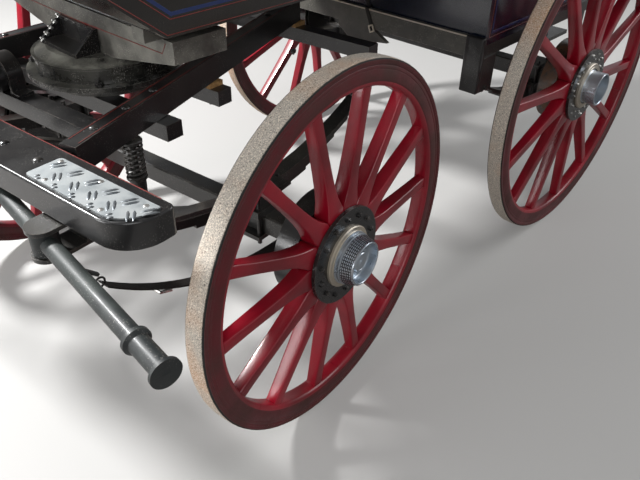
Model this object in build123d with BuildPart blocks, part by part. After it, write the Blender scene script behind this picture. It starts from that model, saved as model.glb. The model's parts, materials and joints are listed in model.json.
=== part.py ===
# A pair-horse wagonette carriage on four wooden wheels, in millimetres.
# It is laid out with x forward from the front axle, y to the left and z up from the ground,
# then each piece is moved so that the origin lies under the middle of the whole carriage.

import os
from math import atan2, cos, hypot, radians, sin

from build123d import *

os.makedirs("parts", exist_ok=True)

# Running gear
wheelbase = 1345
track = 1302
kingpin_x = 105
steer_at_rest = 5.75
seat_gap = 0.3
running_gap = 0.05

# Frame origin, measured from the point under the front axle's middle
origin_x = 272
origin_y = 54

# Wheels
front_wheel_d = 950
rear_wheel_d = 1096
tyre_w = 52
tyre_t = 13
felloe_w = 46
felloe_depth = 52
spoke_count = 14
spoke_phase_front = 24.2
spoke_phase_rear = 6.3
nave_r = 118
nave_w = 48
sleeve_r = 55
flange_r = 128
flange_t = 10
base_ring_r = 98
barrel_r = 71
front_barrel_end = 90
rear_barrel_end = 100
cup_r = 57
cup_depth = 30
cap_r = 30
stub_r = 25

# Drum brakes
drum_r = 140
drum_wall = 8
drum_w = 58
back_plate_r = 126
back_plate_t = 6

# Axles and springs
axle_side = 55
front_spring_y = 400
spring_w = 45
leaf_t = 8
leaf_count = 6
leaf_step = 0.15
front_spring_half = 430
front_spring_rise = 100
spring_over_axle = 21
rear_spring_half = 392
rear_spring_rise = 100
spring_under_axle = 12
eye_overlap = 4
eye_r = 17
eye_pin_r = 8
clamp_plate_t = 12
clamp_over_axle = 23
clamp_over_spring = 21
clamp_bolt_r = 6
clamp_bolt_in = 14
clamp_thread = 14
shackle_t = 6
shackle_edge = 3
hanger_near = 40
hanger_far = 40
hanger_cheek = 7
hanger_below_eye = 8

# Fore-carriage frame
futchell_w = 40
futchell_h = 60
futchell_y = 288
futchell_toe = 0.20
futchell_lift_x = 200
futchell_front_gap = 6
futchell_top = 860
futchell_rise = 0.06
futchell_rear_x = -450
board_front_x = 572
board_rear_x = 462
board_half = 645
board_top = 835
board_t = 55
board_front_r = 75
board_rear_r = 14
plate_t = 3
plate_inner_y = 360
plate_edge = 10
crossbar_w = 45
crossbar_h = 38
crossbar_front_x = 200
crossbar_mid_x = -5
crossbar_over = 57
crossbar_mid_over = 53
crossbar_rear_drop = 11
packing_over = 6
damper_x = 290
damper_low = 600
damper_cap_r = 14
damper_rod_r = 8
damper_body_r = 12
damper_eye_r = 15
coil_count = 7
coil_pitch = 11
coil_r = 24
coil_drop = 22
damper_arm_w = 34
damper_arm_t = 12
damper_foot_half = 18
stay_w = 34
stay_t = 10
stay_front_in = 24
stay_side_in = 98
stay_lug_back = 34
stay_lug_ahead = 8
stay_lug_in = 40
ring_bottom = 822
ring_lower_r = 190
ring_flange_t = 12
ring_base_r = 150
ring_upper_r = 135
ring_band_r = 167
ring_band_h = 33
ring_rim = 4
ring_rim_t = 6
ring_gap = 1
kingpin_r = 16
kingpin_head_r = 28
kingpin_head_t = 20

# Swingletrees and pole
tree_x = 593
tree_y = 430
tree_z = 740
tree_half = 420
tree_r = 17
tree_turn_left = 11.4
neck_l = 78
collar_r = 24
end_flange_r = 26
tree_boss_r = 26
tree_boss_h = 46
tree_pin_r = 8
neck_edge = 1
collar_w = 7
end_flange_t = 6
fork_t = 8
fork_gap = 2
fork_w = 60
fork_back = 55
fork_web_t = 12
snap_at = 100
snap_back = 45
snap_drop = 41
snap_w = 8
snap_t = 6
strap_w = 28
strap_t = 4
strap_ring_r = 10
strap_wire_r = 2
strap_sag_x = 380
strap_sag_z = 561
strap_end_z = 492
pole_z = 880
pole_root_r = 38
pole_tip_r = 27
pole_l = 2500
pole_root_x = 350
pole_bearer_x = 370
saddle_t = 7
saddle_w = 36
saddle_foot = 25
board_saddle_in = 50
head_socket_l = 90
head_shell_t = 4
head_cap_l = 26
head_cap_r = 12
head_eye_back = 30
head_eye_out = 6
head_eye_r = 21
head_eye_edge = 10
head_eye_t = 10

# Body
panel_t = 22
body_half = 500
body_front_x = -900
body_rear_x = -2060
floor_bottom = 750
floor_t = 25
boot_bottom = 1020
boot_floor_t = 20
boot_inset = 50
foot_x = 222
foot_tip_x = 470
foot_tip_z = 1243
foot_tip_edge = 30
dash_back = 20
dash_rise = 60
cheek_front = 200
cheek_drop = 130
seat_front_x = -120
seat_rear_x = -640
seat_top = 1400
seat_side_drop = 110
seat_over = 20
seat_overhang = 24
bench_bottom = 1170
bench_t = 28
bench_inner_y = 290
bench_nosing = 20
riser_t = 20
bench_outer_y = 690
bench_back_top = 1500
cushion_t = 75
cushion_edge = 4
back_t = 45
back_edge = 14
driver_back_h = 250
driver_back_gap = 40
driver_back_in = 20
seat_arm_r = 7
seat_arm_out = 12
seat_arm_h = 200
seat_post_w = 28
seat_post_in = 12
seat_post_t = 11
seat_post_below = 140
door_half = 225
door_gap = 6
door_edge = 8
door_top = 1380
hinge_barrel_r = 8
hinge_pin_r = 4
hinge_barrel_l = 40
hinge_ear_l = 12
hinge_ear_gap = 1
hinge_low = 90
hinge_high = 130
hinge_leaf_in = 62
hinge_leaf_out = 36
handle_z = 1120
handle_in = 60
handle_rose_r = 22
handle_l = 95
spring_inset = 25
sill_h = 40
sill_w = 45
sill_board_t = 16
wedge_l = 225
wedge_h = 36
wedge_y = -90
bolster_front = 160
bolster_rear = 20
bolster_half = 375
bolster_bottom = 887
bolster_taper = 240
bolster_end_rise = 45
rail_y = 300
rail_w = 40
rail_h = 40
step_z = 400
step_t = 18
step_half = 180
step_near = 40
step_far = 260
step_iron_t = 10
step_iron_in = 30
step_iron_w = 40
step_lap = 60
bracket_x = 225
bracket_half = 82
bracket_t = 8
bracket_top = 942

# Sizes that follow from those above
boot_half = body_half - boot_inset
rear_spring_y = body_half - spring_inset
front_axle_z = front_wheel_d / 2
rear_axle_z = rear_wheel_d / 2
board_bottom = board_top - board_t


def place(piece, node, turned=False):
    """Turn a fore-carriage piece to its rest angle, move it to the origin and write it."""
    pivot = Axis((kingpin_x, 0, 0), (0, 0, 1))
    solids = []
    for solid in piece.solids():
        if turned:
            solid = solid.rotate(pivot, steer_at_rest)
        solids.append(solid.moved(Location((-origin_x, -origin_y, 0))))
    shape = solids[0] if len(solids) == 1 else Compound(solids)
    shape.label = node
    export_step(shape, f"parts/{node}.step")


def both_sides(shape):
    """The shape and its mirror image across the carriage's middle."""
    return Compound(children=[shape, mirror(shape, about=Plane.XZ)])


def futchell_line(x):
    """Middle y and top z of the left futchell at x."""
    ahead = x - futchell_lift_x
    return futchell_y + futchell_toe * ahead, futchell_top - futchell_rise * ahead


# Wheels. Each is built round Y at the origin with its outer face to the left.
def wheel_tyre(wheel_r):
    with BuildPart() as tyre:
        with BuildSketch(Plane.XZ):
            Circle(wheel_r)
            Circle(wheel_r - tyre_t, mode=Mode.SUBTRACT)
        extrude(amount=tyre_w / 2, both=True)
        chamfer(tyre.edges().filter_by(GeomType.CIRCLE).group_by(SortBy.RADIUS)[-1], 2)
    return tyre.part


def spoke_section(along, distance, wide, deep):
    """An oblong with cut corners, square to the spoke at a distance from the centre."""
    cut = wide / 4
    x, y = deep / 2, wide / 2
    corners = [(x, y - cut), (x - cut, y), (cut - x, y), (-x, y - cut)]
    corners += [(-u, -v) for u, v in corners]
    with BuildSketch(Plane(along * distance, x_dir=(0, 1, 0), z_dir=along)) as section:
        with BuildLine():
            Polyline(*corners, close=True)
        make_face()
    return section.sketch


def wheel_wood(wheel_r, phase):
    felloe_out = wheel_r - tyre_t - seat_gap
    felloe_in = wheel_r - tyre_t - felloe_depth
    sections = (
        # distance from the centre, width round the wheel, width along the axle
        (nave_r - 30, 40, 46),
        (nave_r + 17, 60, 46),
        (nave_r + 62, 38, 41),
        (nave_r + 110, 29, 38),
        (felloe_in + 12, 31, 30),
    )
    with BuildPart() as wood:
        with BuildSketch(Plane.XZ):
            Circle(felloe_out)
            Circle(felloe_in, mode=Mode.SUBTRACT)
        extrude(amount=felloe_w / 2, both=True)
        inner = wood.edges().filter_by(GeomType.CIRCLE).group_by(SortBy.RADIUS)[0]
        chamfer(inner, 6)
        with BuildSketch(Plane.XZ):
            Circle(nave_r)
        extrude(amount=nave_w / 2, both=True)
        for number in range(spoke_count):
            angle = phase + number * 360 / spoke_count
            along = Vector(cos(radians(angle)), 0, sin(radians(angle)))
            loft([spoke_section(along, *section) for section in sections], ruled=True)
        with BuildSketch(Plane.XZ):
            Circle(sleeve_r + seat_gap)
        extrude(amount=nave_w, both=True, mode=Mode.SUBTRACT)
    return wood.part


def wheel_hub(barrel_end):
    """Sleeve, base ring, barrel and cap, turned as one piece with a blind bore."""
    ring_face = nave_w / 2 + flange_t
    outline = (
        # radius, distance along the axle
        (stub_r + running_gap, -nave_w / 2 - flange_t),
        (sleeve_r, -nave_w / 2 - flange_t),
        (sleeve_r, ring_face + seat_gap),
        (base_ring_r, ring_face + seat_gap),
        (base_ring_r, ring_face + 8),
        (barrel_r, ring_face + 10),
        (barrel_r, barrel_end - 3),
        (barrel_r - 3, barrel_end),
        (cup_r, barrel_end),
        (cup_r - 2, barrel_end - cup_depth),
        (cap_r, barrel_end - cup_depth),
        (cap_r, barrel_end - cup_depth + 12),
        (0, barrel_end - cup_depth + 14),
        (0, barrel_end - cup_depth - 8),
        (stub_r + running_gap, barrel_end - cup_depth - 8),
    )
    with BuildPart() as hub:
        with BuildSketch(Plane.XY):
            with BuildLine():
                Polyline(*outline, close=True)
            make_face()
        revolve(axis=Axis.Y)
    return hub.part


def wheel_drum():
    """Bolted outer flange, and the inner flange that carries the brake drum."""
    inner = -nave_w / 2
    with BuildPart() as flange:
        with BuildSketch(Plane.XZ.offset(-nave_w / 2 - seat_gap)):
            Circle(flange_r)
            Circle(sleeve_r + seat_gap, mode=Mode.SUBTRACT)
        extrude(amount=-(flange_t - seat_gap))
    outline = (
        # radius, distance along the axle
        (sleeve_r + seat_gap, inner - seat_gap),
        (drum_r, inner - seat_gap),
        (drum_r, inner - drum_w),
        (drum_r - drum_wall, inner - drum_w),
        (drum_r - drum_wall, inner - flange_t),
        (sleeve_r + seat_gap, inner - flange_t),
    )
    with BuildPart() as drum:
        with BuildSketch(Plane.XY):
            with BuildLine():
                Polyline(*outline, close=True)
            make_face()
        revolve(axis=Axis.Y)
    return Compound(children=[flange.part, drum.part])


def make_wheels():
    sizes = (
        # which wheels, x, radius, spoke phase, hub's end, on the fore-carriage
        ("front", 0, front_wheel_d / 2, spoke_phase_front, front_barrel_end, True),
        ("rear", -wheelbase, rear_wheel_d / 2, spoke_phase_rear, rear_barrel_end, False),
    )
    drum = wheel_drum()
    for which, x, radius, phase, barrel_end, turned in sizes:
        hub = wheel_hub(barrel_end)
        tyre = wheel_tyre(radius)
        wood = wheel_wood(radius, phase)
        for side, side_name in ((1, "left"), (-1, "right")):
            for kind, shape in (("tyre", tyre), ("wheel", wood), ("hub", hub), ("drum", drum)):
                if side < 0:
                    shape = mirror(shape, about=Plane.XZ)
                shape = shape.moved(Location((x, side * track / 2, radius)))
                place(shape, f"{kind}_{which}_{side_name}", turned)


# Axles, each a square beam with round stubs and the brakes' back plates
def axle(x, z, barrel_end):
    beam_end = track / 2 - nave_w / 2 - drum_w - 4
    stub_end = track / 2 + barrel_end - cup_depth - 10
    plate_at = track / 2 - nave_w / 2 - drum_w
    with BuildPart() as beam:
        with Locations((x, 0, z)):
            Box(axle_side, 2 * beam_end, axle_side)
        chamfer(beam.edges().filter_by(Axis.Y), 4)
        for side in (1, -1):
            with BuildSketch(Plane((x, side * (beam_end - 20), z), z_dir=(0, side, 0))):
                Circle(stub_r)
            extrude(amount=stub_end - beam_end + 20)
            with BuildSketch(Plane((x, side * (plate_at - 8), z), z_dir=(0, side, 0))):
                Circle(back_plate_r)
            extrude(amount=back_plate_t)
    return beam.part


# Leaf springs. Each pack is clamped above the front axle or below the rear one.
front_pack_low = front_axle_z + axle_side / 2 + spring_over_axle
rear_pack_low = rear_axle_z - axle_side / 2 - spring_under_axle - leaf_t * leaf_count


def eye_place(x_mid, pack_low, half, rise, side):
    """x and z of a spring's eye."""
    top = pack_low + leaf_t * leaf_count + rise
    return x_mid + side * (half + eye_r - eye_overlap), top - leaf_t / 2


def leaf_spring(x_mid, y, pack_low, half, rise):
    side_plane = Plane((0, y, 0), x_dir=(1, 0, 0), z_dir=(0, -1, 0))
    with BuildPart() as spring:
        for number in range(leaf_count):
            reach = half * (1 - leaf_step * number)
            top = pack_low + leaf_t * (leaf_count - number)
            lift = rise * (reach / half) ** 2
            upper = [(x_mid - reach, top + lift), (x_mid, top), (x_mid + reach, top + lift)]
            lower = [(x, z - leaf_t) for x, z in upper]
            with BuildSketch(side_plane):
                with BuildLine():
                    ThreePointArc(*upper)
                    Line(upper[2], lower[2])
                    ThreePointArc(*reversed(lower))
                    Line(lower[0], upper[0])
                make_face()
            extrude(amount=spring_w / 2, both=True)
        eyes = [eye_place(x_mid, pack_low, half, rise, side) for side in (-1, 1)]
        with BuildSketch(side_plane):
            with Locations(*eyes):
                Circle(eye_r)
        extrude(amount=spring_w / 2, both=True)
        with BuildSketch(side_plane):
            with Locations(*eyes):
                Circle(eye_pin_r + seat_gap)
        extrude(amount=spring_w, both=True, mode=Mode.SUBTRACT)
    return spring.part


def leaf_lift(half, rise):
    """How far the curve of the main leaf rises at the edge of a clamp's plate."""
    reach = (axle_side + 2 * clamp_over_axle) / 2
    return rise * (reach / half) ** 2


# Top of the front clamps, where the board's stays end
front_pack_top = front_pack_low + leaf_t * leaf_count + leaf_lift(front_spring_half, front_spring_rise)
front_clamp_top = front_pack_top + seat_gap + clamp_plate_t
rear_pack_top = rear_pack_low + leaf_t * leaf_count + leaf_lift(rear_spring_half, rear_spring_rise)


def spring_clamp(x_mid, y, plates):
    """Flat plates, each an underside and a thickness, and the four bolts through them."""
    plate_x = axle_side + 2 * clamp_over_axle
    plate_y = spring_w + 2 * clamp_over_spring
    leg_low = min(low for low, thickness in plates) - clamp_thread
    leg_top = max(low + thickness for low, thickness in plates) + clamp_thread
    with BuildPart() as clamp:
        for low, thickness in plates:
            with BuildSketch(Plane.XY.offset(low)):
                with Locations((x_mid, y)):
                    Rectangle(plate_x, plate_y)
            extrude(amount=thickness)
        with BuildSketch(Plane.XY.offset(leg_low)):
            with Locations((x_mid, y)):
                with GridLocations(plate_x - 2 * clamp_bolt_in, plate_y - clamp_over_spring, 2, 2):
                    Circle(clamp_bolt_r)
        extrude(amount=leg_top - leg_low)
    return clamp.part


def shackle(eye, y, frame_bottom, lean):
    """Two cheeks and a pin that hang a spring's eye from the frame above."""
    x, z = eye
    cheek_r = eye_r + shackle_edge
    up = frame_bottom - seat_gap - z
    corners = [(-cheek_r, 0), (cheek_r, 0), (cheek_r + lean, up), (lean - cheek_r, up)]
    with BuildPart() as hanger:
        for cheek in (-1, 1):
            at = y + cheek * (spring_w / 2 + shackle_t / 2 + seat_gap)
            with BuildSketch(Plane((x, at, z), x_dir=(1, 0, 0), z_dir=(0, -1, 0))):
                Circle(cheek_r)
                with BuildLine():
                    Polyline(*corners, close=True)
                make_face()
            extrude(amount=shackle_t / 2, both=True)
        with BuildSketch(Plane((x, y, z), z_dir=(0, 1, 0))):
            Circle(eye_pin_r)
        extrude(amount=spring_w / 2 + shackle_t + eye_pin_r, both=True)
    return hanger.part


def hanger_post(eye, y, frame_bottom):
    """A boxed post, open to the rear, that holds a spring's front eye between its cheeks."""
    x, z = eye
    low = z - hanger_below_eye
    room = spring_w / 2 + seat_gap
    with BuildPart() as post:
        with BuildSketch(Plane.XY.offset(low)):
            with Locations((x + (hanger_near - hanger_far) / 2, y)):
                Rectangle(hanger_near + hanger_far, 2 * (room + hanger_cheek))
        extrude(amount=frame_bottom - seat_gap - low)
        fillet(post.edges().filter_by(Axis.Z), hanger_cheek / 2)
        slot_front = x + eye_r + 2
        slot_top = z + eye_r + leaf_t
        with BuildSketch(Plane.XY.offset(low)):
            with Locations(((slot_front + x - hanger_far) / 2, y)):
                Rectangle(slot_front - x + hanger_far, 2 * room)
        extrude(amount=slot_top - low, mode=Mode.SUBTRACT)
        with BuildSketch(Plane((x, y, z), z_dir=(0, 1, 0))):
            Circle(eye_pin_r)
        extrude(amount=room + hanger_cheek + eye_pin_r, both=True)
    return post.part


def bar_between(start, end, wide, thick):
    """A flat bar from one point to another, its width level."""
    along = Vector(*end) - Vector(*start)
    level = Vector(0, 0, 1).cross(along).normalized()
    with BuildPart() as bar:
        with BuildSketch(Plane(start, x_dir=level, z_dir=along.normalized())):
            Rectangle(wide, thick)
        extrude(amount=along.length)
    return bar.part


def block(x0, x1, y0, y1, z0, z1):
    with BuildPart() as solid:
        with BuildSketch(Plane.XY.offset(z0)):
            with Locations(((x0 + x1) / 2, (y0 + y1) / 2)):
                Rectangle(x1 - x0, y1 - y0)
        extrude(amount=z1 - z0)
    return solid.part


def side_plate(outline, y0, y1):
    """A flat plate with an outline of x and z, from y0 to y1."""
    with BuildPart() as plate:
        with BuildSketch(Plane((0, y0, 0), x_dir=(1, 0, 0), z_dir=(0, -1, 0))):
            with BuildLine():
                Polyline(*outline, close=True)
            make_face()
        extrude(amount=y0 - y1)
    return plate.part


def cross_plate(outline, x0, x1):
    """A flat plate with an outline of y and z, from x0 to x1."""
    with BuildPart() as plate:
        with BuildSketch(Plane((x0, 0, 0), x_dir=(0, 1, 0), z_dir=(1, 0, 0))):
            with BuildLine():
                Polyline(*outline, close=True)
            make_face()
        extrude(amount=x1 - x0)
    return plate.part


# Fore-carriage
def futchell_bottom(x):
    return futchell_line(x)[1] - futchell_h * (1 + futchell_rise ** 2)


crossbar_top = futchell_bottom(crossbar_front_x + crossbar_w / 2) - seat_gap
crossbar_rear_top = futchell_bottom(futchell_rear_x + crossbar_w) - crossbar_rear_drop


def make_fore_frame():
    # Futchells, the two long beams beside the turntable
    front_x = board_rear_x - futchell_front_gap
    y0, top0 = futchell_line(front_x)
    y1, top1 = futchell_line(futchell_rear_x)
    start = (front_x, y0, top0 - futchell_h / 2)
    end = (futchell_rear_x, y1, top1 - futchell_h / 2)
    beam = bar_between(start, end, futchell_w, futchell_h)
    place(both_sides(beam), "futchells", True)

    # Crossbars under them, and one between them that bears the pole's root
    rear_x = eye_place(0, front_pack_low, front_spring_half, front_spring_rise, -1)[0]
    bearer_half = futchell_line(pole_bearer_x - crossbar_w / 2)[0] - futchell_w / 2 - 2 * seat_gap
    bars = (
        # middle x, top z, half length
        (crossbar_front_x, crossbar_top, futchell_line(crossbar_front_x)[0] + crossbar_over),
        (crossbar_mid_x, crossbar_top, futchell_line(crossbar_mid_x)[0] + crossbar_mid_over),
        (rear_x, crossbar_rear_top, front_spring_y + spring_w),
        (pole_bearer_x, pole_z - pole_root_r - seat_gap, bearer_half),
    )
    solids = []
    for x, top, half in bars:
        x0, x1 = x - crossbar_w / 2, x + crossbar_w / 2
        solids.append(block(x0, x1, -half, half, top - crossbar_h, top))
    place(Compound(children=solids), "crossbars", True)

    # Packing blocks between two of the crossbars and the beams
    blocks = []
    packing_half = futchell_w / 2 + packing_over
    for x, top, half in bars[1:3]:
        y = futchell_line(x)[0]
        x0, x1 = x - crossbar_w / 2, x + crossbar_w / 2
        high = futchell_bottom(x1) - seat_gap
        blocks.append(block(x0, x1, y - packing_half, y + packing_half, top + seat_gap, high))
    place(both_sides(Compound(children=blocks)), "packing_blocks", True)


def make_turntable():
    top = bolster_bottom - seat_gap
    slip_z = ring_bottom + ring_flange_t
    lower = (
        # radius, z
        (kingpin_r + running_gap, crossbar_top + seat_gap),
        (ring_base_r, crossbar_top + seat_gap),
        (ring_base_r, ring_bottom),
        (ring_lower_r, ring_bottom),
        (ring_lower_r, slip_z),
        (kingpin_r + running_gap, slip_z),
    )
    head_top = crossbar_top - ring_gap
    band_low = slip_z + ring_gap
    rim_low = band_low + ring_band_h
    upper = (
        (0, top),
        (ring_upper_r, top),
        (ring_band_r - ring_rim, rim_low + ring_rim_t),
        (ring_band_r + ring_rim, rim_low + ring_rim_t),
        (ring_band_r + ring_rim, rim_low),
        (ring_band_r, rim_low),
        (ring_band_r, band_low),
        (kingpin_r, band_low),
        (kingpin_r, head_top),
        (kingpin_head_r, head_top),
        (kingpin_head_r, head_top - kingpin_head_t),
        (0, head_top - kingpin_head_t),
    )
    rings = (
        ("turntable_lower", lower, True),
        ("turntable_upper", upper, False),
    )
    for node, outline, turned in rings:
        with BuildPart() as ring:
            with BuildSketch(Plane((kingpin_x, 0, 0), x_dir=(1, 0, 0), z_dir=(0, -1, 0))):
                with BuildLine():
                    Polyline(*outline, close=True)
                make_face()
            revolve(axis=Axis((kingpin_x, 0, 0), (0, 0, 1)))
        place(ring.part, node, turned)


def make_splinter_board():
    with BuildPart() as board:
        with BuildSketch(Plane.XY.offset(board_bottom)):
            with Locations(((board_front_x + board_rear_x) / 2, 0)):
                Rectangle(board_front_x - board_rear_x, 2 * board_half)
        extrude(amount=board_t)
        uprights = board.edges().filter_by(Axis.Z).group_by(Axis.X)
        fillet(uprights[-1], board_front_r)
        fillet(board.edges().filter_by(Axis.Z).group_by(Axis.X)[0], board_rear_r)
        fillet(board.faces().sort_by(Axis.Z)[-1].edges(), 5)
    place(board.part, "splinter_board", True)

    with BuildPart() as tread:
        x0 = board_rear_x + plate_edge + 14
        x1 = board_front_x - plate_edge
        y1 = board_half - plate_edge - 2
        with BuildSketch(Plane.XY.offset(board_top + seat_gap)):
            with Locations(((x0 + x1) / 2, (plate_inner_y + y1) / 2)):
                Rectangle(x1 - x0, y1 - plate_inner_y)
        extrude(amount=plate_t)
        corners = tread.edges().filter_by(Axis.Z)
        outer = corners.group_by(Axis.Y)[-1].sort_by(Axis.X)
        fillet(outer[-1], board_front_r - plate_edge - 4)
        others = tread.edges().filter_by(Axis.Z).filter_by(GeomType.LINE)
        fillet(others.sort_by(Axis.Y)[0:2], 8)
    place(both_sides(tread.part), "step_treads", True)

    # Stays from under the board's ends back to the tops of the spring clamps
    strap_top = board_bottom - seat_gap
    corner_x = board_front_x - stay_front_in
    corner_y = board_half - stay_side_in
    foot_z = front_clamp_top + seat_gap
    clamp_edge = front_spring_y + spring_w / 2 + clamp_over_spring
    foot_y = clamp_edge + stay_w / 2 + 2
    corner = (corner_x, corner_y, strap_top - stay_t / 2)
    foot = (axle_side / 2, foot_y, foot_z + stay_t / 2 + 3)
    run = bar_between(corner, foot, stay_w, stay_t)
    lug = block(corner_x - stay_lug_back, corner_x + stay_lug_ahead, corner_y - stay_lug_in,
                corner_y + stay_w / 2, strap_top - stay_t, strap_top)
    pad_half = axle_side / 2 + clamp_over_axle - clamp_bolt_in - clamp_bolt_r - 2
    pad = block(-pad_half, pad_half, clamp_edge - clamp_over_spring + 1, foot_y + stay_w / 2,
                foot_z, foot_z + stay_t)
    place(both_sides(run + lug + pad), "board_stays", True)


def swingletree(side, turn):
    """Tube on a pin, with a neck, collar and flange at each end and a snap for its check strap."""
    half = tree_half
    collar = half - neck_l - collar_w
    neck_r = tree_r + neck_edge
    outline = (
        # radius, distance from the middle
        (0, 0),
        (tree_r, 0),
        (tree_r, collar - 9),
        (collar_r, collar - 5),
        (collar_r, collar + 2),
        (neck_r, collar + collar_w),
        (neck_r, half - end_flange_t - 3),
        (end_flange_r, half - end_flange_t),
        (end_flange_r, half),
        (0, half + 1),
    )
    snap = bar_between((-tree_r / 2, side * snap_at, -tree_r / 2), (-snap_back, side * snap_at, -snap_drop),
                       snap_w, snap_t)
    with BuildPart() as tree:
        with BuildSketch(Plane.XY):
            with BuildLine():
                Polyline(*outline, close=True)
            make_face()
        revolve(axis=Axis.Y)
        mirror(about=Plane.XZ)
        with BuildSketch(Plane.XY.offset(-tree_boss_h / 2)):
            Circle(tree_boss_r)
        extrude(amount=tree_boss_h)
        with BuildSketch(Plane.XY.offset(-tree_boss_h)):
            Circle(tree_pin_r + running_gap)
        extrude(amount=2 * tree_boss_h, mode=Mode.SUBTRACT)
    turned = (tree.part + snap).rotate(Axis.Z, -turn * side)
    return turned.moved(Location((tree_x, side * tree_y, tree_z)))


def make_swingletrees():
    for side, name, turn in ((1, "left", tree_turn_left), (-1, "right", 0)):
        place(swingletree(side, turn), f"swingletree_{name}", True)
    # Forks under the board that hold the pins
    inner = tree_boss_h / 2 + fork_gap
    back_x = board_front_x - fork_back
    with BuildPart() as fork:
        for level in (inner, -inner - fork_t):
            with BuildSketch(Plane.XY.offset(tree_z + level)):
                with Locations((tree_x, tree_y)):
                    Circle(fork_w / 2)
                with Locations(((tree_x + back_x) / 2, tree_y)):
                    Rectangle(tree_x - back_x, fork_w)
            extrude(amount=fork_t)
        low = tree_z - inner - fork_t
        with BuildSketch(Plane.XY.offset(low)):
            with Locations((back_x + fork_web_t / 2, tree_y)):
                Rectangle(fork_web_t, fork_w)
        extrude(amount=board_bottom - seat_gap - low)
        with BuildSketch(Plane.XY.offset(low - 6)):
            with Locations((tree_x, tree_y)):
                Circle(tree_pin_r)
        extrude(amount=2 * (inner + fork_t) + 6)
    place(both_sides(fork.part), "swingletree_forks", True)


def make_check_straps():
    """Leather straps that hang in a curve from the swingletrees' snaps back to the axle."""
    straps = []
    for side, turn in ((1, tree_turn_left), (-1, 0)):
        angle = radians(turn)
        ring_x = tree_x + snap_at * sin(angle) - snap_back * cos(angle)
        y = side * (tree_y + snap_at * cos(angle) + snap_back * sin(angle))
        ring_z = tree_z - snap_drop - snap_t - strap_ring_r - strap_wire_r
        upper = [
            (ring_x - strap_ring_r / 2, ring_z - strap_ring_r / 2),
            (strap_sag_x, strap_sag_z),
            (axle_side / 2 + seat_gap, strap_end_z),
        ]
        lower = [(x, z - strap_t) for x, z in upper]
        with BuildPart() as strap:
            with BuildSketch(Plane((0, y, 0), x_dir=(1, 0, 0), z_dir=(0, -1, 0))):
                with BuildLine():
                    ThreePointArc(*upper)
                    Line(upper[2], lower[2])
                    ThreePointArc(*reversed(lower))
                    Line(lower[0], upper[0])
                make_face()
            extrude(amount=strap_w / 2, both=True)
            with Locations(Location((ring_x, y, ring_z), (90, 0, 0))):
                Torus(strap_ring_r, strap_wire_r)
        straps.append(strap.part)
    place(Compound(children=straps), "check_straps", True)


def make_front_suspension():
    place(axle(0, front_axle_z, front_barrel_end), "front_axle", True)
    shape = (front_pack_low, front_spring_half, front_spring_rise)
    place(both_sides(leaf_spring(0, front_spring_y, *shape)), "front_springs", True)
    axle_top = front_axle_z + axle_side / 2
    axle_low = front_axle_z - axle_side / 2
    plates = (
        # underside, thickness
        (axle_top + seat_gap, spring_over_axle - 2 * seat_gap),
        (front_clamp_top - clamp_plate_t, clamp_plate_t),
        (axle_low - seat_gap - clamp_plate_t, clamp_plate_t),
    )
    clamp = spring_clamp(0, front_spring_y, plates)
    front_eye = eye_place(0, *shape, 1)
    rear_eye = eye_place(0, *shape, -1)
    lean = board_rear_x + (board_front_x - board_rear_x) / 4 - front_eye[0]
    ahead = shackle(front_eye, front_spring_y, board_bottom, lean)
    behind = shackle(rear_eye, front_spring_y, crossbar_rear_top - crossbar_h, 0)
    place(both_sides(Compound(children=[clamp, ahead, behind])), "front_spring_irons", True)

    # Coil-over dampers between the futchells and arms on the axle
    damper_y = futchell_line(damper_x)[0]
    top = futchell_bottom(damper_x + damper_cap_r) - seat_gap
    outline = [(0, top), (damper_cap_r, top), (damper_cap_r, top - 14), (damper_rod_r, top - 18)]
    for number in range(coil_count):
        z = top - coil_drop - number * coil_pitch
        outline += [(coil_r - 5, z), (coil_r, z - 3), (coil_r, z - 6), (coil_r - 5, z - 9)]
    outline += [(damper_body_r, damper_low + 30), (damper_eye_r, damper_low + 18)]
    outline += [(damper_eye_r, damper_low), (0, damper_low)]
    with BuildPart() as damper:
        with BuildSketch(Plane((damper_x, damper_y, 0), x_dir=(1, 0, 0), z_dir=(0, -1, 0))):
            with BuildLine():
                Polyline(*outline, close=True)
            make_face()
        revolve(axis=Axis((damper_x, damper_y, 0), (0, 0, 1)))
    face_x = axle_side / 2 + seat_gap
    half_w = damper_arm_w / 2
    start = (face_x + damper_arm_t / 2, damper_y, front_axle_z)
    end = (damper_x + damper_eye_r - 1, damper_y, damper_low + 1)
    arm = bar_between(start, end, damper_arm_w, damper_arm_t)
    foot = block(face_x, face_x + damper_arm_t, damper_y - half_w, damper_y + half_w,
                 front_axle_z - damper_foot_half, front_axle_z + damper_foot_half)
    place(both_sides(damper.part + arm + foot), "front_dampers", True)


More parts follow.
